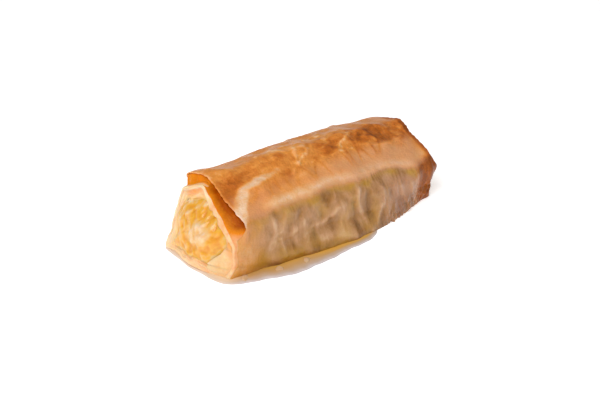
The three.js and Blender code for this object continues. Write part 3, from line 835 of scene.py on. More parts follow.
# %% The far edge and the spread foot
FAR_SHORT = 0.4  # how far the far edge stops short of the half length
FAR_RAGGED = ((0.25, 5, 0), (0.15, 37, 2))  # height, waves round, phase
FAR_DRAW, DRAWN_FROM = 3.0, (188.0, 206.0)  # its draw back at the front's foot, and tilts where it starts
FAR_BEAK, BEAK_TILT, BEAK_WIDTH = 2.0, 186.0, 8.0  # how far it stands out above that
FOOT_SPREAD = (  # x, and how far the front's foot spreads on the table there
    (-50, 0), (-45, 0.3), (-38, 2.6), (-31, 2.9), (-24.5, 3.2), (-18, 5.2), (-10, 5.8), (5, 6.0), (16, 2.5),
    (26, 1.5), (34, 2.2), (40, 2.0), (45, 0.3), (52, 1.5), (57, 0.2), (60, 0),
)
SPREAD_FROM, UNDERSIDE = (193.0, 209.0), (225.0, 250.0)  # tilts where the spread and the base start


def far_edge(tilt):
    """x of the outer sheet's far edge: ragged, furthest at the front's shoulder, drawn back at its foot."""
    drawn = FAR_DRAW * plateau(tilt, DRAWN_FROM, UNDERSIDE)
    beak = FAR_BEAK * bump(tilt - BEAK_TILT, BEAK_WIDTH)
    return HALF_LENGTH - FAR_SHORT + waves_round(tilt, FAR_RAGGED) - drawn + beak


def foot_flare(x, tilt):
    """How far the front's foot spreads: a line through its spots along the roll, fading in down the side."""
    return np.interp(x, *zip(*FOOT_SPREAD)) * plateau(tilt, SPREAD_FROM, UNDERSIDE)


print("far edge at the front's shoulder: x", far_edge(np.array(BEAK_TILT)).round(1))

# %% Build the outer sheet
SHEET = 0.6  # thickness of the outer sheet at its free edges
FLAP_LIFT, FLAP_CURL = 0.8, 6.0  # how far the flap's edge lifts, and the length over which that dies away
CORNER_ROUND, CORNER_SHARE = 2.6, 0.95  # radius of the bend into the near end, and share of a quarter turn
ROUND_SPANS = (  # from tilt, to tilt, columns
    (-90, -42, 10), (-42, -28, 14), (-28, 20, 40), (20, 158, 112), (158, 214, 88), (214, 226, 16),
    (226, 270, 10),
)
LONG_ROWS, UNDER_ROWS = 270, 30
round_tilts = np.concatenate([np.linspace(a, b, n, endpoint=False) for a, b, n in ROUND_SPANS])


def corner_turn(x, tilt):
    """How far the sheet bends in at its near edge below the flap: a quarter circle of the corner's radius."""
    inward = np.clip(1.0 - (x - flap_edge(tilt)) / CORNER_ROUND, 0.0, 1.0)
    return CORNER_ROUND * (1.0 - np.sqrt(1.0 - CORNER_SHARE * inward**2)) * (1.0 - flap_share(tilt))


def outer_radius(x, tilt):
    """Section, relief, the foot's spread and the flap's curl, dying away inwards, less the corner's bend."""
    curl = FLAP_LIFT * flap_share(tilt) * np.exp(-np.maximum(x - flap_edge(tilt), 0.0) / FLAP_CURL)
    bend = (curl - corner_turn(x, tilt)) * clear_of_base(tilt)
    lifted = section_radius(x, tilt) + sheet_relief(x, tilt) + bend
    return cut_by_base(lifted + foot_flare(x, tilt), tilt)


def edge_turn(x, tilt, way):
    """The middle of a free edge, half the sheet's thickness in and a little out along the roll."""
    return place(x + way * 0.25 * SHEET, tilt, outer_radius(x, tilt) - 0.5 * SHEET)


def outer_sheet_grid():
    """Rows of the tube: along its upper side, round the near edge, back underneath and round the far edge."""
    tilt = round_tilts[None, :]
    top_x = lerp(far_edge(tilt), flap_edge(tilt), steps(LONG_ROWS))
    top = place(top_x, tilt, outer_radius(top_x, tilt))
    under_x = top_x[:: -(LONG_ROWS // UNDER_ROWS)]
    under = place(under_x, tilt, outer_radius(under_x, tilt) - SHEET)
    near_turn = edge_turn(top_x[-1:], tilt, -1.0)
    far_turn = edge_turn(top_x[:1], tilt, 1.0)
    points = np.concatenate([top, near_turn, under, far_turn])
    return points, np.concatenate([top_x, top_x[-1:], under_x, top_x[:1]])


sheet_points, sheet_x = outer_sheet_grid()
sheet_tilt = np.broadcast_to(round_tilts, sheet_x.shape)
print("outer sheet's grid:", sheet_points.shape[:2], "rows and columns")

# %% [markdown]
# ### How the outer sheet is coloured
# The oven browned the ridges of the top and, in part, the far end, and the creases are paler. Some of the
# colour is painted light: the corner above the long fold is darkened as painted shade, and the far end
# partly so; the long fold's face, the blisters, the flap's edge, some small spots and the strip above the
# shoulder are lightened as painted highlights. Painting by hand would do, but here each mask is a sum of
# regions, and the number before a region says how strongly it acts.

# %% Where the outer sheet is brown
MEAN_TOAST = 0.47
# The paler patches, with a minus, are painted highlights on the top.
TOAST_AND_HIGHLIGHT_PATCHES = (  # x, tilt, half length, half girth, how much browner or paler
    (-34, 99, 7, 4, 0.12), (-20, 98, 6, 3.5, 0.18), (-19, 122, 4, 3.5, 0.14), (10, 113, 5, 3.5, 0.14),
    (13, 103, 7, 5, 0.16), (27, 113, 7, 5, 0.16), (34, 96, 9, 6, 0.12), (43, 106, 12, 9, 0.22),
    (40, 122, 6, 4, 0.12), (54, 128, 6, 7, 0.12), (-16, 84, 4, 2.5, -0.2), (6, 77, 3, 1.5, -0.2),
    (31, 118, 5, 2, -0.14), (13, 119, 1.5, 1.3, -0.3), (18, 109, 4, 4, -0.12), (43, 137, 7, 3, -0.12),
)


def shoulder_strip(x, tilt):
    """1 along the pale strip just above the shoulder line, a painted highlight."""
    return bump(below_shoulder(x, tilt) + 2.4, 2.5) * smoothstep(x, -46.0, -32.0)


def fold_highlight(x, tilt):
    """1 on the upper face of the long fold, lightened as a painted highlight, with a sharp upper border,
    fading along the roll.
    """
    up, face = above_fold(x, tilt)
    return smoothstep(up, -1.2, 0.8) * fade(up / face, 0.5, 1.05) * fade(x, -40.0, -18.0)


def fold_corner_shade(x, tilt):
    """1 in the corner between the long fold, the flap's edge and the back of the top, which is darkened as
    painted shade.
    """
    up, face = above_fold(x, tilt)
    above = smoothstep(up / face, 0.8, 1.2) * fade(up, 10.0, 22.0)
    return above * fade(x, -46.0, -30.0) * smoothstep(tilt, 84.0, 100.0)


def below_fold(x, tilt):
    """1 along the shaded strip below the long fold."""
    return bump(above_fold(x, tilt)[0] + 5.0, 4.0) * (x < -18.0)


def brown_runs(x, tilt):
    """1 along streaks that run down the slope: the nought lines of noise that is stretched round the roll."""
    lines = bump(wave_noise(unrolled(x, tilt, 3.6), wave=9.0, seed=41), 0.35)
    return lines * plateau(tilt, (108.0, 122.0), (136.0, 152.0))


def toast_and_light_mask(x, tilt):
    """How brown a place looks: the mean, plus the browner regions, less the paler ones, plus the patches;
    some of them are painted highlights and painted shade.
    """
    # Browner at the far end: partly the sheet's own toasting and partly painted shade.
    far_side = smoothstep(x, 44.0, 51.0) * smoothstep(tilt, 158.0, 176.0)
    far_edge_tip = smoothstep(x, 58.0, 61.5)
    back = fade(tilt, 66.0, 88.0)
    far_brown = far_side * (0.49 + 0.2 * hanging(x, tilt))
    # Painted shade: the hollow corner above the long fold, and the shaded strip below it.
    browner = 0.22 * fold_corner_shade(x, tilt) + 0.1 * below_fold(x, tilt) + far_brown
    browner = browner + 0.35 * far_edge_tip + 0.08 * mottled(x, tilt) + 0.03 * back
    browner = browner + 0.13 * brown_runs(x, tilt) * smoothstep(x, -22.0, -4.0)
    near_corner = bump(tilt - 190.0, 24.0) * fade(x, -54.0, -44.0)
    near_underside = smoothstep(np.abs(tilt - 90.0), 125.0, 145.0) * fade(x, -62.0, -52.0)
    flap_edge_highlight = bump(x - flap_edge(tilt), 1.0) * flap_share(tilt)
    # Painted highlights: the long fold's face, the blisters, the flap's edge and the strip above the
    # shoulder.
    paler = 0.3 * shoulder_strip(*either_side(x, tilt)) + 0.36 * fold_highlight(x, tilt) + 0.28 * creased(x, tilt)
    paler = paler + 0.3 * blisters(x, tilt) + 0.1 * near_corner + 0.2 * near_underside + 0.15 * flap_edge_highlight
    patches = sum(change * oval(x, tilt, *spot) for *spot, change in TOAST_AND_HIGHLIGHT_PATCHES)
    return MEAN_TOAST + browner - paler + patches


toast_and_light = toast_and_light_mask(sheet_x, sheet_tilt)
print("toast:", toast_and_light.min().round(2), "to", toast_and_light.max().round(2))

# %% Where the outer sheet is pink, pale or yellow
MEAN_CREST = 0.46
MOST_OLIVE = 0.9
BACK_SOAK = 0.8  # the back drank less syrup than the front


def blush_and_sheen_mask(x, tilt):
    """Pink of the slope between the brown runs, the fold's face, the back and the far soaked side; on the
    slope, the fold's face and the back it is a painted sheen.
    """
    face = fold_highlight(x, tilt)
    down = below_shoulder(x, tilt)
    slope = smoothstep(tilt, 118.0, 142.0) * fade(down, -1.0, 2.0)
    slope = slope * (0.3 + 0.3 * fade(x, -46.0, -34.0) + 0.4 * smoothstep(x, -20.0, 15.0))
    slope = slope * (1.0 - 0.8 * brown_runs(x, tilt)) * (1.0 - face)
    back = smoothstep(x, 10.0, 30.0) * plateau(tilt, (20.0, 50.0), (68.0, 86.0))
    side = smoothstep(x, 16.0, 34.0) * smoothstep(down, 2.0, 6.0) * soaked(x, tilt)
    return (slope + 0.25 * back + 0.4 * side + 0.25 * face) * fade(x, 52.0, 60.0)


def crest_highlight_and_shade_mask(x, tilt):
    """Painted light on the hanging folds: pale crests as highlights, dark furrows and the overhang close
    under the shoulder as shade, and the wet, shaded foot darker.
    """
    shade = bump(below_shoulder(x, tilt) - 1.5, 2.0)
    far_foot = smoothstep(x, 14.0, 34.0) * smoothstep(tilt, 184.0, 200.0)
    # Darker below the foot's bulge: the wet sheet, and painted shade under its overhang.
    wet_and_shaded_foot = smoothstep(tilt, 192.0, 204.0) * smoothstep(x, -40.0, -12.0)
    dark = 0.05 * shade + 0.2 * far_foot + 0.22 * wet_and_shaded_foot
    return MEAN_CREST + 0.38 * hanging(x, tilt) - dark + 0.06 * fade(x, -38.0, -24.0)


def olive_mask(x, tilt):
    """Yellow tint of the wettest sheets: under the shoulder, at the near corner, at the foot, in patches."""
    drift = wave_noise(unrolled(x, tilt), wave=11.0, seed=42)
    line = bump(below_shoulder(x, tilt) - 1.6, 2.0) * (0.75 + 0.3 * drift)
    line = line * (0.5 + 0.5 * smoothstep(x, -24.0, -8.0))
    foot = smoothstep(tilt, 196.0, 206.0) * fade(x, -6.0, 16.0)
    return np.clip(line + 0.4 * drift + 0.45 * fade(x, -56.0, -46.0) + 0.6 * foot, 0.0, MOST_OLIVE)


sheet_side = either_side(sheet_x, sheet_tilt)
sheet_masks = {
    "toast_and_light": toast_and_light,
    "mottle": mottled(sheet_x, sheet_tilt),
    "blush_and_sheen": blush_and_sheen_mask(sheet_x, sheet_tilt),
    "soak": soaked(*sheet_side) * np.where(sheet_tilt < BACK_FROM, BACK_SOAK, 1.0),
    "crest_highlight_and_shade": crest_highlight_and_shade_mask(*sheet_side),
    "olive": olive_mask(*sheet_side),
}
make_piece("outer_sheet", [sheet_points], "loop", crisp_phyllo, sheet_masks, "phyllo_wrap")

# %% [markdown]
# ## The inner sheets and their tucked ends
# Under the flap the inner sheets come out as a steeper tent, roll over at the rim and tuck in around the
# custard. The far end can't be seen in the photo, so it is made like the near one. Again it is one closed
# grid, whose rows follow the outline of the wall: the tent, the rim, the tuck, the inside, and the same
# at the far end.

# %% The tent under the flap
TENT_FACETS = ((200, 24.3), (128, 15.0), (68, 18.2), (16, 17.7), (-8, 20.6))  # tilt and reach
DENT_TILT, DENT_WIDTH, DENT_DEPTH = 122.0, 16.0, 1.0  # the tent is drawn in on its front slope
GAP_DEPTH, TAB_DEPTH = 3.0, 0.3  # how far the gap under the flap reaches in, and at the flap's upper corner
TAB_CLOSES = (84.0, 100.0)  # tilts where that gap closes towards the corner
TAB_CORNER = 88.0  # tilt of the flap's upper corner
TAB_LINE = (  # tilt and x of the upright sheets there
    (40, -56.8), (58, -56.6), (74, -55.2), (TAB_CORNER, -54.3),
)
TENT_LIES = (176.0, 190.0)  # tilts where the tent's rim comes to lie on the outer sheet
LEAST_RISE = (0.7, 3.0)  # how far behind the rim it has risen, at least: low on the sides and elsewhere
UNDER_SECTION, FLAP_GAP = 0.8, 1.6  # how deep it lies inside the section, and more under the flap
TAB_GAP = 0.15  # how deep it lies under the outer sheet at the upright sheets
RISE_EASE = 0.4  # share of its rise that is a smooth step and not straight
RIPPLE_HEIGHT, RIPPLE_TURN = 0.15, 0.31  # of the ripples round it, and their radians to a degree of tilt


def tab_share(tilt):
    """1 at the flap's upper corner and on the back, where the sheets stand upright, 0 on the front."""
    return fade(tilt, *TAB_CLOSES)


def tent_share(tilt):
    """1 where the tent stands clear of the outer sheet, 0 low on the sides, where its rim lies on it."""
    return np.where(tilt > 90.0, fade(tilt, *TENT_LIES), flap_share(tilt))


def dent(tilt):
    """Flat-bottomed dent in the tent's front slope: e to the minus (offset / width) to the fourth power."""
    return DENT_DEPTH * np.exp(-(((tilt - DENT_TILT) / DENT_WIDTH) ** 4))


def tent_foot(tilt):
    """x where the tent starts to rise: at the rim, or where the upright sheets stand at the flap's corner."""
    upright = np.interp(tilt, *zip(*TAB_LINE)) + flap_edge(tilt) - flap_edge(np.array(TAB_CORNER))
    return lerp(near_rim(tilt), upright, tab_share(tilt) * flap_share(tilt))


def tent_top(tilt):
    """x where the tent has risen to the outer sheet: in the flap's gap, or a little behind the rim."""
    gap = lerp(GAP_DEPTH, TAB_DEPTH, tab_share(tilt)) * flap_share(tilt)
    return np.maximum(flap_edge(tilt) + gap, tent_foot(tilt) + lerp(*LEAST_RISE, tent_share(tilt)))


def tent_radius(x, tilt):
    """The steep dented tent at the rim, rising to just under the outer sheet further in."""
    share, start = flap_share(tilt), tent_foot(tilt)
    low = section_radius(x, tilt) - UNDER_SECTION - FLAP_GAP * share
    under = lerp(low, outer_radius(x, tilt) - SHEET - TAB_GAP, tab_share(tilt) * share)
    straight = np.clip((x - start) / (tent_top(tilt) - start), 0.0, 1.0)
    rise = lerp(straight, smoothstep(straight, 0.0, 1.0), RISE_EASE)
    ripple = RIPPLE_HEIGHT * np.sin(RIPPLE_TURN * tilt) * clear_of_base(tilt)
    return np.minimum(lerp(polygon_radius(tilt, TENT_FACETS) - dent(tilt) + ripple, under, rise), under)


slope_tilt = np.array(130.0)
print("tent's rise on its front: x", tent_foot(slope_tilt).round(1), "to", tent_top(slope_tilt).round(1))

# %% The wall and the mouths
WALL, BASE_WALL = 6.0, 3.0  # thickness of the phyllo above the custard and under it
FOOT_SINES = (0.5, 0.95)  # minus the sines of the tilts between which the foot of an end begins
NEAR_MOUTH, FAR_MOUTH = 16.0, 12.0  # mean radius of the two openings
MOUTH_BACK, MOUTH_DOWN = 1.2, 5.0  # how far an opening's middle lies towards the front and below the axis
PINCH, PINCH_TILT, PINCH_WIDTH = 3.4, 222.0, 30.0  # it is drawn in at its lower front corner
MOUTH_BENDS = ((0.5, 3, 1),)  # height, waves round, phase
MOUTH_WAVES = ((0.03, 4, 0.5), (0.02, 9, 2))  # share of the radius, waves round, phase
TENT_LAP, MOUTH_LEDGE, FOOT_LEDGE = 2.0, 1.0, 2.0  # least width of the sheets round it, and more at the foot


def wall_radius(x, tilt):
    """Inside of the phyllo, thinner under the custard than above it."""
    return section_radius(x, tilt) - lerp(BASE_WALL, WALL, clear_of_base(tilt))


def foot_share(tilt):
    """1 along the foot of an end, 0 on its sides and top."""
    return smoothstep(-np.sin(np.radians(tilt)), *FOOT_SINES)


def mouth_radius(x, tilt, mean):
    """Opening at an end: a shifted circle, drawn in at a lower corner, kept inside the wall and the tent."""
    angle = np.radians(tilt)
    from_pinch = (tilt - PINCH_TILT + 540.0) % 360.0 - 180.0
    drawn = mean - MOUTH_BACK * np.cos(angle) - MOUTH_DOWN * np.sin(angle)
    drawn = drawn - PINCH * bump(from_pinch, PINCH_WIDTH) + waves_round(tilt, MOUTH_BENDS)
    inside = np.minimum(wall_radius(x, tilt), polygon_radius(tilt, TENT_FACETS) - TENT_LAP)
    inside = inside - dent(tilt) - MOUTH_LEDGE - FOOT_LEDGE * foot_share(tilt)
    return np.minimum(drawn, inside) * (1.0 + waves_round(tilt, MOUTH_WAVES))


mouth_sample = mouth_radius(NEAR_RIM, np.array([90.0, 180.0]), NEAR_MOUTH)
print("near mouth at the top and front:", mouth_sample.round(1))

# %% The rolled rim and the tucked sheets
RIM_ROLL, SLOPE_ROLL, FOOT_ROLL = 0.8, 1.9, 1.4  # radius of the rolled rim, on the front slope, at the foot
SLOPE_FROM, SLOPE_TO = (85.0, 110.0), (165.0, 185.0)  # tilts where the front slope starts and ends
ROLL_WAVES = ((0.2, 7, 1.0), (0.14, 17, 0))  # share of the radius, waves round, phase
RIM_BACK = 0.8  # from the rim's crest back to where its roll starts
RIM_ROWS = 10
TUCK_DEPTH, TUCK_POWER = 1.5, 1.3  # from the rim's crest in to the mouth's edge, and how the slope steepens
PLEATS, PLEAT_HEIGHT, FOOT_PLEAT = 3.0, 0.2, 0.15  # waves across the tuck, their height, and more at the foot
END_RIDGES = (  # y and z along each edge of a layer that shows in the end, its height and width
    (((12.8, 18.6), (11.6, 22.0), (9.7, 24.9), (6.5, 28.4), (2.6, 31.0)), 0.6, 0.8),
    (((7.8, 21.2), (4.7, 24.2), (1.0, 26.7), (-2.6, 28.3)), 0.5, 0.7),
    (((-15.0, 12.5), (-11.0, 7.6), (-6.0, 5.2), (0.0, 5.0), (5.0, 6.6)), 0.35, 0.5),
    (((12.0, 3.4), (5.0, 2.2), (-2.0, 2.0), (-9.0, 3.2)), 0.4, 0.6),
    (((14.4, 6.4), (9.5, 4.2), (3.0, 3.5), (-4.0, 3.5)), 0.35, 0.5),
    (((15.2, 19.0), (15.8, 13.0), (16.6, 8.0)), 0.4, 0.9),
    (((12.6, 17.0), (13.2, 12.0), (12.2, 7.6)), 0.35, 0.6),
    (((9.4, 16.0), (9.6, 11.0), (7.4, 7.4)), 0.25, 0.5),
)
RIDGE_STEPS = 14  # points along the curve of each


def roll_radius(tilt):
    """Radius of the rolled rim, thicker on the front slope and along the foot, and uneven by two waves."""
    slope = lerp(RIM_ROLL, SLOPE_ROLL, plateau(tilt, SLOPE_FROM, SLOPE_TO))
    return lerp(slope, FOOT_ROLL, foot_share(tilt)) * (1.0 + waves_round(tilt, ROLL_WAVES))


def rim_arc(x, radius, tilt, way):
    """Half an ellipse over the rim, from its outer side round the crest to its inner side."""
    turn = np.pi * steps(RIM_ROWS)
    roll = roll_radius(tilt)
    return x + way * RIM_BACK * np.sin(turn), radius - roll + roll * np.cos(turn)


def end_ridges(y, z):
    """Height of the layers' edges on an end: smooth hills along curves."""
    curves = ((smooth_path(spots, RIDGE_STEPS), height, width) for spots, height, width in END_RIDGES)
    return sum(height * bump(from_chain(y, z, curve)[0], width) for curve, height, width in curves)


def tuck_slope(rim, step):
    """x of the tucked sheets a step of the way in from the rim's roll: a power of the step."""
    return rim + RIM_BACK + (TUCK_DEPTH - RIM_BACK) * step**TUCK_POWER


def tuck_pleats(step, tilt):
    """Low waves across the tucked sheets that wander round the end and die out at both edges."""
    wander = 2.0 * np.sin(3.0 * np.radians(tilt))
    waves = np.sin(2.0 * np.pi * PLEATS * step + wander) * np.sin(np.pi * step)
    return (PLEAT_HEIGHT + FOOT_PLEAT * foot_share(tilt)) * waves


print("edges of layers in the end:", len(END_RIDGES))

# %% The near end's rows
INNER_COLUMNS = 260
TENT_ROWS, TUCK_ROWS = 34, 26
RIM_GLOSS, TUCK_GLOSS = 0.5, 0.4
inner_tilts = np.linspace(-90.0, 270.0, INNER_COLUMNS, endpoint=False)[None, :]


def tent_glow_and_shade(x, tilt):
    """Painted glow of the tent: orange, darker as painted shade towards the gap under the flap, and cream
    where no flap covers it.
    """
    rim = near_rim(tilt)
    depth = np.clip((x - rim) / (flap_edge(tilt) - rim), 0.0, 1.0)
    band = lerp(0.56 + 0.44 * depth, 0.62 + 0.08 * depth, tab_share(tilt))
    return lerp(0.42, band, flap_share(tilt) * fade(tilt, 162.0, 176.0))


def near_tuck_masks(step, tilt, ridges):
    """The rim's painted glow, then the tuck's painted glow and shade and its wetness: painted shade under the
    lip, pale on ridges, wet behind.
    """
    foot = foot_share(tilt)
    front = smoothstep(tilt, 90.0, 120.0) * (1.0 - foot)
    top, back = bump(tilt - 68.0, 26.0), bump(tilt - 10.0, 26.0)
    rim = 0.16 + 0.2 * front + 0.16 * foot + 0.05 * front * np.sin(9 * np.radians(tilt) + 2.0)
    lip_shade = top * lerp(0.34, 0.14, smoothstep(step, 0.15, 0.6))
    tuck = rim + 0.08 * np.sin(np.pi * step) + lip_shade - 0.25 * ridges
    wet = np.clip(0.5 * (1.0 - front) + 0.4 * top + 0.3 * back, 0.0, 0.85) * smoothstep(step, 0.2, 0.8)
    return rim, tuck, wet


def near_end_rows():
    """x, radius, painted glow and shade, wet and gloss of the near end: down the tent, over the rim and in to
    the mouth.
    """
    tilt = inner_tilts
    rim = near_rim(tilt)
    tent_x = lerp(tent_top(tilt) + 1.0, rim + RIM_BACK, steps(TENT_ROWS))
    tent_r = tent_radius(tent_x, tilt)
    rim_x, rim_r = rim_arc(rim + RIM_BACK, tent_r[-1:], tilt, -1.0)
    step = steps(TUCK_ROWS)[1:]
    tuck_r = lerp(tent_r[-1:] - 2.0 * roll_radius(tilt), mouth_radius(rim, tilt, NEAR_MOUTH), step)
    _, tuck_y, tuck_z = np.moveaxis(place(0.0, tilt, tuck_r), -1, 0)
    ridges = end_ridges(tuck_y, tuck_z)
    tuck_x = tuck_slope(rim, step) + tuck_pleats(step, tilt) - ridges
    rim_glow, tuck_glow_and_shade, tuck_wet = near_tuck_masks(step, tilt, ridges)
    x = np.concatenate([tent_x, rim_x, tuck_x])
    radius = np.concatenate([tent_r, rim_r, tuck_r])
    glow_and_shade = np.concatenate([tent_glow_and_shade(tent_x, tilt), rim_glow + 0.0 * rim_r, tuck_glow_and_shade])
    wet = np.concatenate([0.0 * tent_r, 0.0 * rim_r, tuck_wet])
    gloss = np.concatenate([0.0 * tent_r, RIM_GLOSS + 0.0 * rim_r, TUCK_GLOSS + 0.0 * tuck_r])
    return x, radius, glow_and_shade, wet, gloss


print("near end:", TENT_ROWS + RIM_ROWS + TUCK_ROWS - 1, "rows")

# %% The far end's rows
FAR_RIM = 60.2  # x of its rim
FAR_EDGE, FAR_INSET = 1.6, 3.4  # how far that lies inside the section, and how much more above the base
FAR_ROWS, FAR_REACH, FAR_UNDER = 8, 6.0, 2.4  # behind the rim: rows, length, and depth below the section


def far_end_rows():
    """The same for the far end: out of the mouth, over the rim and back under the outer sheet."""
    tilt = inner_tilts
    rim_radius = section_radius(FAR_RIM, tilt) - FAR_EDGE - FAR_INSET * clear_of_base(tilt)
    step = steps(TUCK_ROWS)[:-1]
    tuck_x = FAR_RIM - TUCK_DEPTH + (TUCK_DEPTH - RIM_BACK) * step + tuck_pleats(step, tilt)
    tuck_r = lerp(mouth_radius(FAR_RIM, tilt, FAR_MOUTH), rim_radius - 2.0 * roll_radius(tilt), step)
    rim_x, rim_r = rim_arc(FAR_RIM - RIM_BACK + 0.0 * tilt, rim_radius, tilt, 1.0)
    back = steps(FAR_ROWS)[1:]
    back_x = FAR_RIM - RIM_BACK - FAR_REACH * back + 0.0 * tilt
    back_r = lerp(rim_radius, section_radius(back_x, tilt) - FAR_UNDER, back)
    tuck_glow_and_shade = 0.3 + 0.15 * np.sin(np.pi * step) + 0.0 * tuck_r
    tuck_wet = 0.7 * fade(step, 0.0, 0.6) + 0.0 * tuck_r
    x = np.concatenate([tuck_x, rim_x[::-1], back_x])
    radius = np.concatenate([tuck_r, rim_r[::-1], back_r])
    glow_and_shade = np.concatenate([tuck_glow_and_shade, 0.2 + 0.0 * rim_r, 0.4 + 0.5 * back + 0.0 * back_r])
    wet = np.concatenate([tuck_wet, 0.0 * rim_r, 0.0 * back_r])
    gloss = np.concatenate([TUCK_GLOSS + 0.0 * tuck_r, RIM_GLOSS + 0.0 * rim_r, 0.0 * back_r])
    return x, radius, glow_and_shade, wet, gloss


print("far end:", TUCK_ROWS + RIM_ROWS + FAR_ROWS - 2, "rows")

# %% Build the inner sheets
WALL_ROWS = 6
HIDDEN = 0.7  # value of every mask where nothing shows
COVER_DEPTH = 3.4  # how far the hidden outside lies below the section


def inner_sheets_grid():
    """The two ends joined by an inside wall and a hidden outside, with their painted glow and shade, wet and
    gloss.
    """
    near, far = near_end_rows(), far_end_rows()
    step = steps(WALL_ROWS)
    wall_x = lerp(near[0][-1:] + 1.0, far[0][:1] - 1.0, step)
    wall_r = np.minimum(wall_radius(wall_x, inner_tilts), tent_radius(wall_x, inner_tilts) - 1.0)
    cover_x = lerp(far[0][-1:] - 2.0, near[0][:1] + 2.0, step)
    cover_r = section_radius(cover_x, inner_tilts) - COVER_DEPTH
    hidden = np.full(wall_x.shape, HIDDEN)
    walls = ((wall_x, cover_x), (wall_r, cover_r)) + ((hidden, hidden),) * 3
    x, radius, glow_and_shade, wet, gloss = (
        np.concatenate([n, wall, f, cover]) for n, f, (wall, cover) in zip(near, far, walls)
    )
    return place(x, inner_tilts, radius), {"glow_and_shade": glow_and_shade, "wet": wet, "gloss": gloss}


inner_points, inner_masks = inner_sheets_grid()
make_piece("inner_sheets", [inner_points], "loop", inner_phyllo, inner_masks, "phyllo_wrap")

# %% [markdown]
# ## The custard
# Semolina custard sets soft and lumpy. It fills the roll and swells out of both mouths, with one pale
# lump at the near end and a crease round it. A sphere squashed into place would look too smooth, so each
# end is a disc of rings whose depth is a sum of the swelling, the lump, its crease, noise and the edges
# of layers that lie on it.

# %% Custard at an end
CUSTARD_BULGE, BULGE_POWER = 2.6, 1.3  # height of its dome, and how flat that is
CUSTARD_BACK = 1.05  # from the rim back to the custard's edge
MOUTH_LAP = 1.6  # how far the custard reaches out behind the mouth's edge
EDGE_DIVE, DIVE_FROM = 0.55, (0.86, 1.0)  # how far it sinks there, and shares of the radius where it does
LUMP_MIDDLE = (-3.8, 16.8)  # y and z of the pale lump
LUMP_HALF = (7.8, 5.6)  # half its length and half its height
LUMP_TURN = math.radians(-21.5)  # its long way rises towards the front
LUMP_EDGE = (0.55, 1.2)  # distances from its middle where its height falls off
CREASE_AT, CREASE_WIDTH = 1.3, 0.25  # distance and width of the crease round it
LEAST_CREASE = 0.35  # share of that crease above the lump


def tilt_of(y, z):
    """Tilt of a place of an end: its angle round the axis, from -90 to 270 degrees."""
    tilt = np.degrees(np.arctan2(z - AXIS_HEIGHT, y))
    return np.where(tilt < -90.0, tilt + 360.0, tilt)


def far_rim(tilt):
    """x of the far end's rim, the same all round."""
    return FAR_RIM + 0.0 * tilt


def lump_distance(y, z):
    """Distance from the lump's middle in a turned ellipse, 1 at its outline, and its share across it."""
    dy, dz = y - LUMP_MIDDLE[0], z - LUMP_MIDDLE[1]
    along = (dy * math.cos(LUMP_TURN) + dz * math.sin(LUMP_TURN)) / LUMP_HALF[0]
    across = (dz * math.cos(LUMP_TURN) - dy * math.sin(LUMP_TURN)) / LUMP_HALF[1]
    return np.hypot(along, across), across


def leaning_plane(z, rim, mean):
    """x of the plane through the rim's top and foot at a height, for a mouth of a mean radius."""
    top, foot = rim(np.array(90.0)), rim(np.array(-90.0))
    return 0.5 * (top + foot) + 0.5 * (top - foot) * (z - AXIS_HEIGHT) / mean


def custard_face(y, z, rim, mean, way):
    """x and creaminess at a place: a dome on a leaning plane, plus lump, crease, noise and ridges."""
    tilt = tilt_of(y, z)
    share = np.hypot(y, z - AXIS_HEIGHT) / (mouth_radius(rim(tilt), tilt, mean) + MOUTH_LAP)
    distance, across = lump_distance(y, z)
    lump = fade(distance, *LUMP_EDGE)
    below = lerp(LEAST_CREASE, 1.0, smoothstep(-across, -0.3, 0.8))
    crease = bump(distance - CREASE_AT, CREASE_WIDTH) * below
    flat = np.stack([0.0 * y, y, z], -1)
    grains, curds, fine = (wave_noise(flat, wave, seed) for wave, seed in ((4.6, 21), (2.6, 23), (1.5, 22)))
    ridges = end_ridges(y, z)
    dome = CUSTARD_BULGE * np.maximum(1.0 - share**2, 0.0) ** BULGE_POWER
    inside = 1.0 - np.minimum(share, 1.0) ** 6
    out = dome + inside * (lump - 0.25 * crease + 0.24 * grains + 0.08 * curds + 0.06 * fine) + ridges
    out = out - EDGE_DIVE * smoothstep(share, *DIVE_FROM)
    line = lerp(leaning_plane(z, rim, mean), rim(tilt), smoothstep(share, 0.55, 1.0))
    cream = 0.3 + 0.46 * lump - 0.2 * crease + 0.12 * grains + 0.12 * curds + 0.05 * fine
    # A little paler near the mouth's edge: painted light against the shade in the crease there.
    cream = cream + 0.7 * ridges + 0.08 * smoothstep(share, 0.78, 0.94)
    return line + way * (out - CUSTARD_BACK), cream


lump_x, lump_cream = custard_face(*np.array(LUMP_MIDDLE)[:, None], near_rim, NEAR_MOUTH, -1.0)
print("custard's lump: x", lump_x.round(1), "creaminess", lump_cream.round(2))


# %% Build the custard
CUSTARD_COLUMNS, CUSTARD_ROWS, SIDE_ROWS = 180, 46, 6
MIDDLE_RING = 0.02  # share of the radius of the smallest ring
CUSTARD_GAP = 0.5  # between the hidden sides and the phyllo
SIDE_CREAM = 0.4
custard_tilts = np.linspace(-90.0, 270.0, CUSTARD_COLUMNS, endpoint=False)[None, :]


def custard_rings(rim, mean, way):
    """Rings of an end from its middle out to the mouth: points and creaminess."""
    tilt = custard_tilts
    share = np.linspace(MIDDLE_RING, 1.0, CUSTARD_ROWS)[:, None]
    rings = place(0.0, tilt, (mouth_radius(rim(tilt), tilt, mean) + MOUTH_LAP) * share)
    rings[..., 0], cream = custard_face(rings[..., 1], rings[..., 2], rim, mean, way)
    return rings, cream


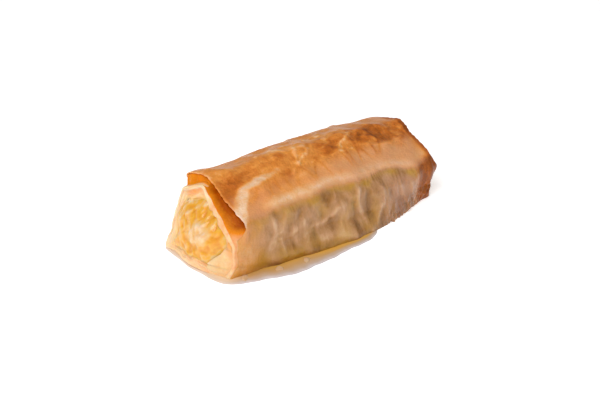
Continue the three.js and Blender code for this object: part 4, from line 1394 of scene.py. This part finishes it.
def custard_grid():
    """Near end from the middle out, the hidden sides, and the far end from the mouth in."""
    near, near_cream = custard_rings(near_rim, NEAR_MOUTH, -1.0)
    far, far_cream = custard_rings(far_rim, FAR_MOUTH, 1.0)
    side_x = lerp(near[-1, :, 0] + 2.0, far[-1, :, 0] - 2.0, steps(SIDE_ROWS))
    room = np.minimum(wall_radius(side_x, custard_tilts), tent_radius(side_x, custard_tilts) - 1.0)
    side = place(side_x, custard_tilts, room - CUSTARD_GAP)
    cream = np.concatenate([near_cream, np.full(side_x.shape, SIDE_CREAM), far_cream[::-1]])
    return np.concatenate([near, side, far[::-1]]), {"cream": cream}


custard_points, custard_masks = custard_grid()
make_piece("custard_filling", [custard_points], "caps", semolina_custard, custard_masks, "custard")

# %% [markdown]
# ## Loose sheets at the near end
# Where the roll was folded shut, single sheets show: a corner folded over the mouth, a pale lip at the
# top and more layers under the flap. Each is a strip: a thin slab with round edges carried along a path.
# A flat plane with a thickness would have hard edges and couldn't narrow towards its ends.

# %% A thin strip along a path
STRIP_STEPS = 28
SPAN_POWER, THICK_POWER = 0.6, 0.4  # of the cosine and sine: below 1, the section is boxier than an ellipse
strip_turn = np.linspace(0.0, 2.0 * np.pi, STRIP_STEPS, endpoint=False)


def boxed(wave, power):
    """A wave's size to a power, with its sign."""
    return np.sign(wave) * np.abs(wave) ** power


strip_span = 0.5 - 0.5 * boxed(np.cos(strip_turn), SPAN_POWER)  # 0 at the path, 1 across


def strip(path, across, out, thickness, bow=0.0):
    """A slab at each path point: a superellipse that spans `across`, thick along `out`, bowed by a sine."""
    side = 0.5 * boxed(np.sin(strip_turn), THICK_POWER)
    arch = np.asarray(bow).reshape(-1, 1) * np.sin(np.pi * strip_span)
    lift = np.asarray(thickness).reshape(-1, 1) * side + arch
    return path[:, None, :] + across[:, None, :] * strip_span[:, None] + out[:, None, :] * lift[..., None]


def taper(share, ends=0.15):
    """1 along a strip, falling smoothly to a quarter at its two ends."""
    return 0.25 + 0.75 * plateau(share, (0.0, ends), (1.0 - ends, 1.0))


def outward(tilt):
    """Unit arrows out from the axis at these tilts."""
    return place(0.0, tilt, 1.0) - np.array([0.0, 0.0, AXIS_HEIGHT])


def near_face(y, z):
    """x of the near end at a place: custard in the mouth, and round it the slope of the tucked sheets."""
    tilt, radius = tilt_of(y, z), np.hypot(y, z - AXIS_HEIGHT)
    rim = near_rim(tilt)
    mouth = mouth_radius(rim, tilt, NEAR_MOUTH)
    brim = tent_radius(rim + RIM_BACK, tilt) - 2.0 * roll_radius(tilt)
    tuck = tuck_slope(rim, np.clip((brim - radius) / (brim - mouth), 0.0, 1.0))
    return np.where(radius < mouth, custard_face(y, z, near_rim, NEAR_MOUTH, -1.0)[0], tuck)


# %% [markdown]
# ### Folded corner
# The outer sheets were folded in over the lower front of the mouth, and their free edge crosses it as a
# straight slope. Cutting and bending the outer sheet's own grid would be hard to keep clean, so the fold
# is a strip from the side's rounded corner to that edge.

# %% Corner folded over the mouth's lower front
CORNER_TILTS = (173.0, 219.0)  # the fold leaves the side between these tilts
CORNER_FREE = (  # y and z along its free edge
    (-20.8, 19.6), (-17.8, 15.3), (-14.1, 10.3), (-10.3, 5.2), (-7.8, 1.2),
)
CORNER_STEPS, CORNER_THICK, CORNER_BOW = 48, 0.45, 0.6
CORNER_INSET, CORNER_DEPTH = 0.8, 0.4  # how far behind the outer sheet's edge it starts, and how deep
CORNER_SUNK = 1.8  # how far its upper end sinks behind the rim
CORNER_OUT = (-1.0, -0.35, 0.0)
CORNER_GLOSS = 0.6


def folded_corner():
    """Strips from a line just inside the side's rounded corner across to a free edge, bowed outwards."""
    share = np.linspace(0.0, 1.0, CORNER_STEPS)
    tilt = lerp(*CORNER_TILTS, share)
    x = flap_edge(tilt) + CORNER_INSET
    path = place(x, tilt, outer_radius(x, tilt) - CORNER_DEPTH)
    sunk = np.column_stack([CORNER_SUNK * fade(share, 0.0, 0.2), 0.0 * share, 0.0 * share])
    free = smooth_path(CORNER_FREE, CORNER_STEPS) + 0.3 * np.sin(share * 11.0)[:, None] * np.array([0.8, 0.5])
    far_side = np.column_stack([near_face(free[:, 0], free[:, 1]) - 0.2, free])
    out = np.tile(CORNER_OUT, (CORNER_STEPS, 1))
    thick = np.full(CORNER_STEPS, CORNER_THICK)
    return strip(path + sunk, far_side - path, out, thick, CORNER_BOW * np.sqrt(np.sin(np.pi * share)))


corner_grid = folded_corner()
corner_span = np.tile(strip_span, (CORNER_STEPS, 1))
corner_masks = {
    "glow_and_shade": 0.26 + 0.12 * (1.0 - corner_span) + 0.4 * steps(CORNER_STEPS)[::-1] ** 3,
    "wet": 0.2 * np.sin(np.pi * corner_span),
    "gloss": np.full(corner_span.shape, CORNER_GLOSS),
}
make_piece("folded_corner", [corner_grid], "caps", inner_phyllo, corner_masks, "phyllo_wrap")

# %% [markdown]
# ### Lip at the top
# A pale sheet sticks out over the top of the near end, between the flap and the tucked sheets. It is too
# short and too uneven for a loft of its own, so it is one more strip, which lies on the tent and widens
# to the back.

# %% Lip at the top
LIP_STEPS, LIP_THICK, LIP_GLOSS = 50, 0.8, 0.4
LIP_TILTS, LIP_REACH = (92.0, 49.0), (1.8, 5.8)  # tilt and width of its two ends
LIP_BACK, LIP_RAISE, LIP_FALL = -54.4, 0.25, 0.12  # x of its root, height over the tent, fall to a width of 1


def top_lip():
    """A strip from the foot of the flap's upright sheets out over the tent, widest at its end."""
    share = np.linspace(0.0, 1.0, LIP_STEPS)
    tilt = lerp(*LIP_TILTS, share)
    path = place(LIP_BACK, tilt, polygon_radius(tilt, TENT_FACETS) + LIP_RAISE)
    reach = lerp(*LIP_REACH, share**0.7) + 0.3 * np.sin(9.0 * share)
    across = np.stack([-reach, 0.0 * share, -LIP_FALL * reach], -1)
    return strip(path, across, outward(tilt), LIP_THICK * taper(share), 0.3 * np.sin(6.0 * share))


lip_grid = top_lip()
lip_masks = {
    "glow_and_shade": lerp(0.62, 0.22, smoothstep(strip_span, 0.35, 0.75)) + 0.16 * steps(LIP_STEPS)[::-1],
    "gloss": np.full(lip_grid.shape[:2], LIP_GLOSS),
}
make_piece("top_lip", [lip_grid], "caps", inner_phyllo, lip_masks, "phyllo_wrap")

# %% [markdown]
# ### More layers under the flap
# Phyllo is many sheets, and in the gap under the flap the next ones show as ragged edges. Thickening the
# flap would give one smooth edge, so each layer is a strip that follows the flap's edge a little lower
# and further in.

# %% More layers under the flap
# The last number of each layer is its painted glow: the deeper layer is darker, as painted shade.
LAYERS = (  # drop, set back, from and to tilt, glow
    (0.9, 0.9, 94.0, 158.0, 0.5),
    (1.5, 2.2, 96.0, 150.0, 0.75),
)
LAYER_STEPS, LAYER_REACH, LAYER_THICK, LAYER_TAPER = 140, 6.0, 0.4, 0.05


def flap_layer(drop, back, start, stop):
    """A strip that follows the flap's edge a little lower and further in, reaching into the roll."""
    share = np.linspace(0.0, 1.0, LAYER_STEPS)
    tilt = lerp(start, stop, share)
    x = flap_edge(tilt) + back + 0.3 * np.sin(share * 41.0) + 0.25 * np.sin(share * 23.0 + drop)
    path, inner = (place(at, tilt, outer_radius(at, tilt) - drop) for at in (x, x + LAYER_REACH))
    return strip(path, inner - path, outward(tilt), LAYER_THICK * taper(share, LAYER_TAPER))


flap_grids = [flap_layer(*layer) for *layer, _ in LAYERS]
flap_glow_and_shade = np.repeat([glow_and_shade for *_, glow_and_shade in LAYERS], LAYER_STEPS * STRIP_STEPS)
flap_masks = {"glow_and_shade": flap_glow_and_shade, "gloss": np.zeros(flap_glow_and_shade.shape)}
make_piece("flap_layers", flap_grids, "caps", inner_phyllo, flap_masks, "phyllo_wrap")

# %% [markdown]
# ## The syrup
# Syrup has run out round the foot of the near end and along the front, and lies there as a thin film that
# climbs the pastry. A fluid simulation would give the same crescent, but a formula for the height of a
# film next to a wet wall is enough: it falls off exponentially from the wall and ends in a round lip.

# %% Borders of the syrup film
FILM_INSIDE = 1.6  # how far it starts inside the pastry's foot
FILM_ROWS = 190
FOOT_LEVEL = 1.0  # height at which the foot is found
FOOT_TILTS = np.linspace(196.0, 236.0, 161)  # where to look for it
NEAR_FILM = (  # tilt of the near end's foot, and x and y of the film's outer edge next to it
    (-40, -66.0, 19.6), (-54, -66.6, 13.6), (-72, -67.0, 7.2), (-92, -67.8, -0.9), (-112, -67.1, -8.2),
    (-130, -66.7, -15.4),
)
FRONT_FILM = (  # x along the front's foot, and x and y of the film's outer edge next to it
    (-58, -64.6, -22.4), (-53, -58.6, -26.4), (-46, -50.4, -29.8), (-40, -43.0, -33.2), (-33, -34.0, -35.5),
    (-25, -25.0, -36.1), (-16, -16.0, -36.0), (-6, -6.0, -35.7), (4, 4.0, -35.5), (10, 10.4, -34.8),
    (14, 13.6, -33.6), (17, 16.2, -31.6),
)


def front_foot(x):
    """y of the front just above the table: the section's point nearest to the foot's level."""
    radius = section_radius(x[:, None], FOOT_TILTS) + foot_flare(x[:, None], FOOT_TILTS)
    points = place(x[:, None], FOOT_TILTS, cut_by_base(radius, FOOT_TILTS))
    lowest = np.abs(points[..., 2] - FOOT_LEVEL).argmin(1)
    return np.take_along_axis(points[..., 1], lowest[:, None], 1)[:, 0]


def film_borders():
    """The film's two borders on the table, from the near end's back round its corner and along the front."""
    tilt, near_edge = np.split(np.array(NEAR_FILM), [1], 1)
    x, front_edge = np.split(np.array(FRONT_FILM), [1], 1)
    near_foot = np.hstack([near_rim(tilt) + FILM_INSIDE, AXIS_HEIGHT / np.tan(np.radians(-tilt))])
    front = np.hstack([x, front_foot(x[:, 0])[:, None] + FILM_INSIDE])
    inner = smooth_path(np.concatenate([near_foot, front]), FILM_ROWS)
    return inner, smooth_path(np.concatenate([near_edge, front_edge]), FILM_ROWS)


print("syrup's outer edge:", len(NEAR_FILM) + len(FRONT_FILM), "spots")


# %% Build the syrup film
FILM_CLIMB = (1.8, 0.5)  # how far it climbs at the near end and at the front
FILM_SKIN, FILM_LEAST = 0.5, 0.05  # its height away from the pastry, and its least height
FILM_FALL = 2.2  # length over which the climb dies away
CLIMB_WIDTH, SKIN_WIDTH = 5.0, 6.0  # a film narrower than this is lower
CLIMB_CHANGE, LIT_TO, DEEP_FROM = (-62.0, -50.0), (-61.0, -50.0), (-24.0, -8.0)  # x where they happen
FILM_TOP, FILM_UNDER = 34, 8  # points across its top, and about as many underneath


def syrup_grid():
    """Sections from the foot out: the film's height by its share of the width, then back along the table."""
    inner, edge = film_borders()
    ripple = 0.25 * np.sin(0.31 * edge[:, :1]) + 0.15 * np.sin(0.83 * edge[:, :1] + 1.0)
    edge = edge + (edge - inner) / np.linalg.norm(edge - inner, axis=1, keepdims=True) * ripple
    width = np.linalg.norm(edge - inner, axis=1, keepdims=True)
    share = np.linspace(0.0, 1.0, FILM_TOP)[None, :]
    full = np.minimum(width / CLIMB_WIDTH, 1.0)
    climb = lerp(*FILM_CLIMB, smoothstep(inner[:, :1], *CLIMB_CHANGE)) * full
    skin = FILM_SKIN * np.minimum(width / SKIN_WIDTH, 1.0)
    height = (skin + climb * np.exp(-width * share / FILM_FALL)) * (1.0 - share**3) + FILM_LEAST
    spread = lerp(inner[:, None, :], edge[:, None, :], share[..., None])
    top = np.concatenate([spread, height[..., None]], -1)
    under = top[:, ::-1][:, :: FILM_TOP // FILM_UNDER].copy()
    under[..., 2] = 0.0
    points = np.concatenate([top, under[:, 1:]], 1)
    depth = np.zeros(points.shape[:2])
    depth[:, :FILM_TOP] = (1.0 - share) ** 1.2 * full
    depth = depth + 0.2 * smoothstep(inner[:, :1], *DEEP_FROM) * (depth > 0.4)
    # The film at the near end is lightened as painted light.
    return points, {"depth": depth, "painted_light": fade(inner[:, :1], *LIT_TO) * (0.35 + 0.65 * depth)}


syrup_points, syrup_masks = syrup_grid()
make_piece("syrup_film", [syrup_points], "caps", clear_syrup, syrup_masks, "syrup_pool")

# %% [markdown]
# ## Loose flakes
# Three flakes of the soaked sheets lie in the syrup at the foot. Scattered copies of one flake would look
# alike, so each is its own short strip, arched along its length, with its own turn and size.

# %% Loose flakes at the foot
FLAKES = (  # x, y and z of the middle, turn in degrees, length and width
    (-25.9, -30.2, 0.9, 20, 3.8, 2.4), (-39.7, -28.0, 0.9, -30, 3.6, 2.4), (-55.4, -23.8, 0.75, 30, 5.0, 2.6),
)
FLAKE_STEPS, FLAKE_THICK, FLAKE_BOW = 12, 0.3, 0.2
FLAKE_ARCH, FLAKE_SLANT = 0.3, 0.3  # how far its ends hang, and its rise across a width of 1
FLAKE_CREST = 0.88


def flake(x, y, z, turn, length, width):
    """A small thin strip, arched along its length and tilted across it."""
    share = np.linspace(0.0, 1.0, FLAKE_STEPS)
    arch = np.sin(np.pi * share)
    angle = math.radians(turn)
    along = np.array([math.cos(angle), math.sin(angle), 0.0]) * length
    across = np.array([-math.sin(angle), math.cos(angle), FLAKE_SLANT]) * width
    path = np.array([x, y, z]) + (share - 0.5)[:, None] * along - 0.5 * across
    path[:, 2] += FLAKE_ARCH * arch - FLAKE_ARCH
    way = np.tile(across, (FLAKE_STEPS, 1)) * (0.6 + 0.4 * arch)[:, None]
    up = np.tile([0.0, 0.0, 1.0], (FLAKE_STEPS, 1))
    return strip(path, way, up, FLAKE_THICK * taper(share), np.full(FLAKE_STEPS, FLAKE_BOW))


flake_grids = [flake(*spot) for spot in FLAKES]
flake_points = len(FLAKES) * FLAKE_STEPS * STRIP_STEPS
flake_masks = {"soak": np.ones(flake_points), "crest_highlight_and_shade": np.full(flake_points, FLAKE_CREST)}
make_piece("loose_flakes", flake_grids, "caps", crisp_phyllo, flake_masks, "phyllo_wrap")

# %% [markdown]
# ## Table, light and camera
# The roll lies on a plain white table under soft light that comes mostly from the upper left, so the near
# end is bright and the far end falls into shade. The table glows a little, which keeps the background
# white without a stronger lamp. The camera looks down on the near corner from about half a metre.

# %% Table
WHITE = (1.0, 1.0, 1.0, 1.0)
TABLE_HALF, TABLE_DROP = 1.5, 0.00005  # half its side, and its depth below the roll, in metres
TABLE_GLOW = 0.5


def table_top():
    """A wide flat square just under the roll."""
    mesh = bpy.data.meshes.new("table")
    corners = [(-1, -1), (1, -1), (1, 1), (-1, 1)]
    mesh.from_pydata([(TABLE_HALF * a, TABLE_HALF * b, -TABLE_DROP) for a, b in corners], [], [(0, 1, 2, 3)])
    table = bpy.data.objects.new("table", mesh)
    finish = Finish(
        "white_table", Roughness=0.9, Base_Color=WHITE, Emission_Color=WHITE, Emission_Strength=TABLE_GLOW,
    )
    mesh.materials.append(finish.material)
    bpy.context.scene.collection.objects.link(table)


table_top()
print("table:", 2 * TABLE_HALF, "m wide")

# %% Lights
LIGHTS = (  # name, place in metres, size in metres, power in watts
    ("window", (-0.52, -0.16, 0.74), 0.6, 6.6),
    ("fill", (0.42, -0.62, 0.40), 0.6, 1.0),
)
SKY_STRENGTH = 0.2
AIM = (0.0, 0.0, AXIS_HEIGHT * MM)


def turn_to(thing, target):
    """Points a light's or camera's -Z at a target."""
    way = thing.location.copy()
    way.x, way.y, way.z = (t - p for t, p in zip(target, thing.location))
    thing.rotation_euler = way.to_track_quat("-Z", "Y").to_euler()


def add_lights():
    """Square soft lights and an even white sky."""
    for name, spot, size, power in LIGHTS:
        lamp = bpy.data.lights.new(name, "AREA")
        lamp.size = size
        lamp.energy = power
        thing = bpy.data.objects.new(name, lamp)
        thing.location = spot
        turn_to(thing, AIM)
        bpy.context.scene.collection.objects.link(thing)
    sky = bpy.data.worlds.new("studio")
    sky.use_nodes = True
    sky.node_tree.nodes["Background"].inputs["Color"].default_value = WHITE
    sky.node_tree.nodes["Background"].inputs["Strength"].default_value = SKY_STRENGTH
    bpy.context.scene.world = sky
    bpy.context.scene.view_settings.view_transform = "Standard"


add_lights()
print("lights:", [name for name, *_ in LIGHTS])

# %% Camera
VIEW_TURN, VIEW_RISE = math.radians(41.57), math.radians(26.93)  # from the front towards the near end, and up
VIEW_DISTANCE = 0.55
IMAGE_WIDTH, IMAGE_HEIGHT = 600, 400
FOCAL_PIXELS = 1193.8  # in a frame of that width
AIM_PIXEL = (305.3, 185.2)  # where the aim falls in that frame
SENSOR = 36.0


def add_camera():
    """A camera whose aim falls on the photo's pixel, by a small shift of the lens."""
    lens = bpy.data.cameras.new("view")
    lens.sensor_width = SENSOR
    lens.lens = FOCAL_PIXELS / IMAGE_WIDTH * SENSOR
    lens.shift_x = (IMAGE_WIDTH / 2 - AIM_PIXEL[0]) / IMAGE_WIDTH
    lens.shift_y = (AIM_PIXEL[1] - IMAGE_HEIGHT / 2) / IMAGE_WIDTH
    eye = bpy.data.objects.new("view", lens)
    flat = VIEW_DISTANCE * math.cos(VIEW_RISE)
    eye.location = (
        AIM[0] - flat * math.sin(VIEW_TURN),
        AIM[1] - flat * math.cos(VIEW_TURN),
        AIM[2] + VIEW_DISTANCE * math.sin(VIEW_RISE),
    )
    turn_to(eye, AIM)
    bpy.context.scene.collection.objects.link(eye)
    bpy.context.scene.camera = eye
    print("camera: lens", round(lens.lens, 1), "mm")


add_camera()
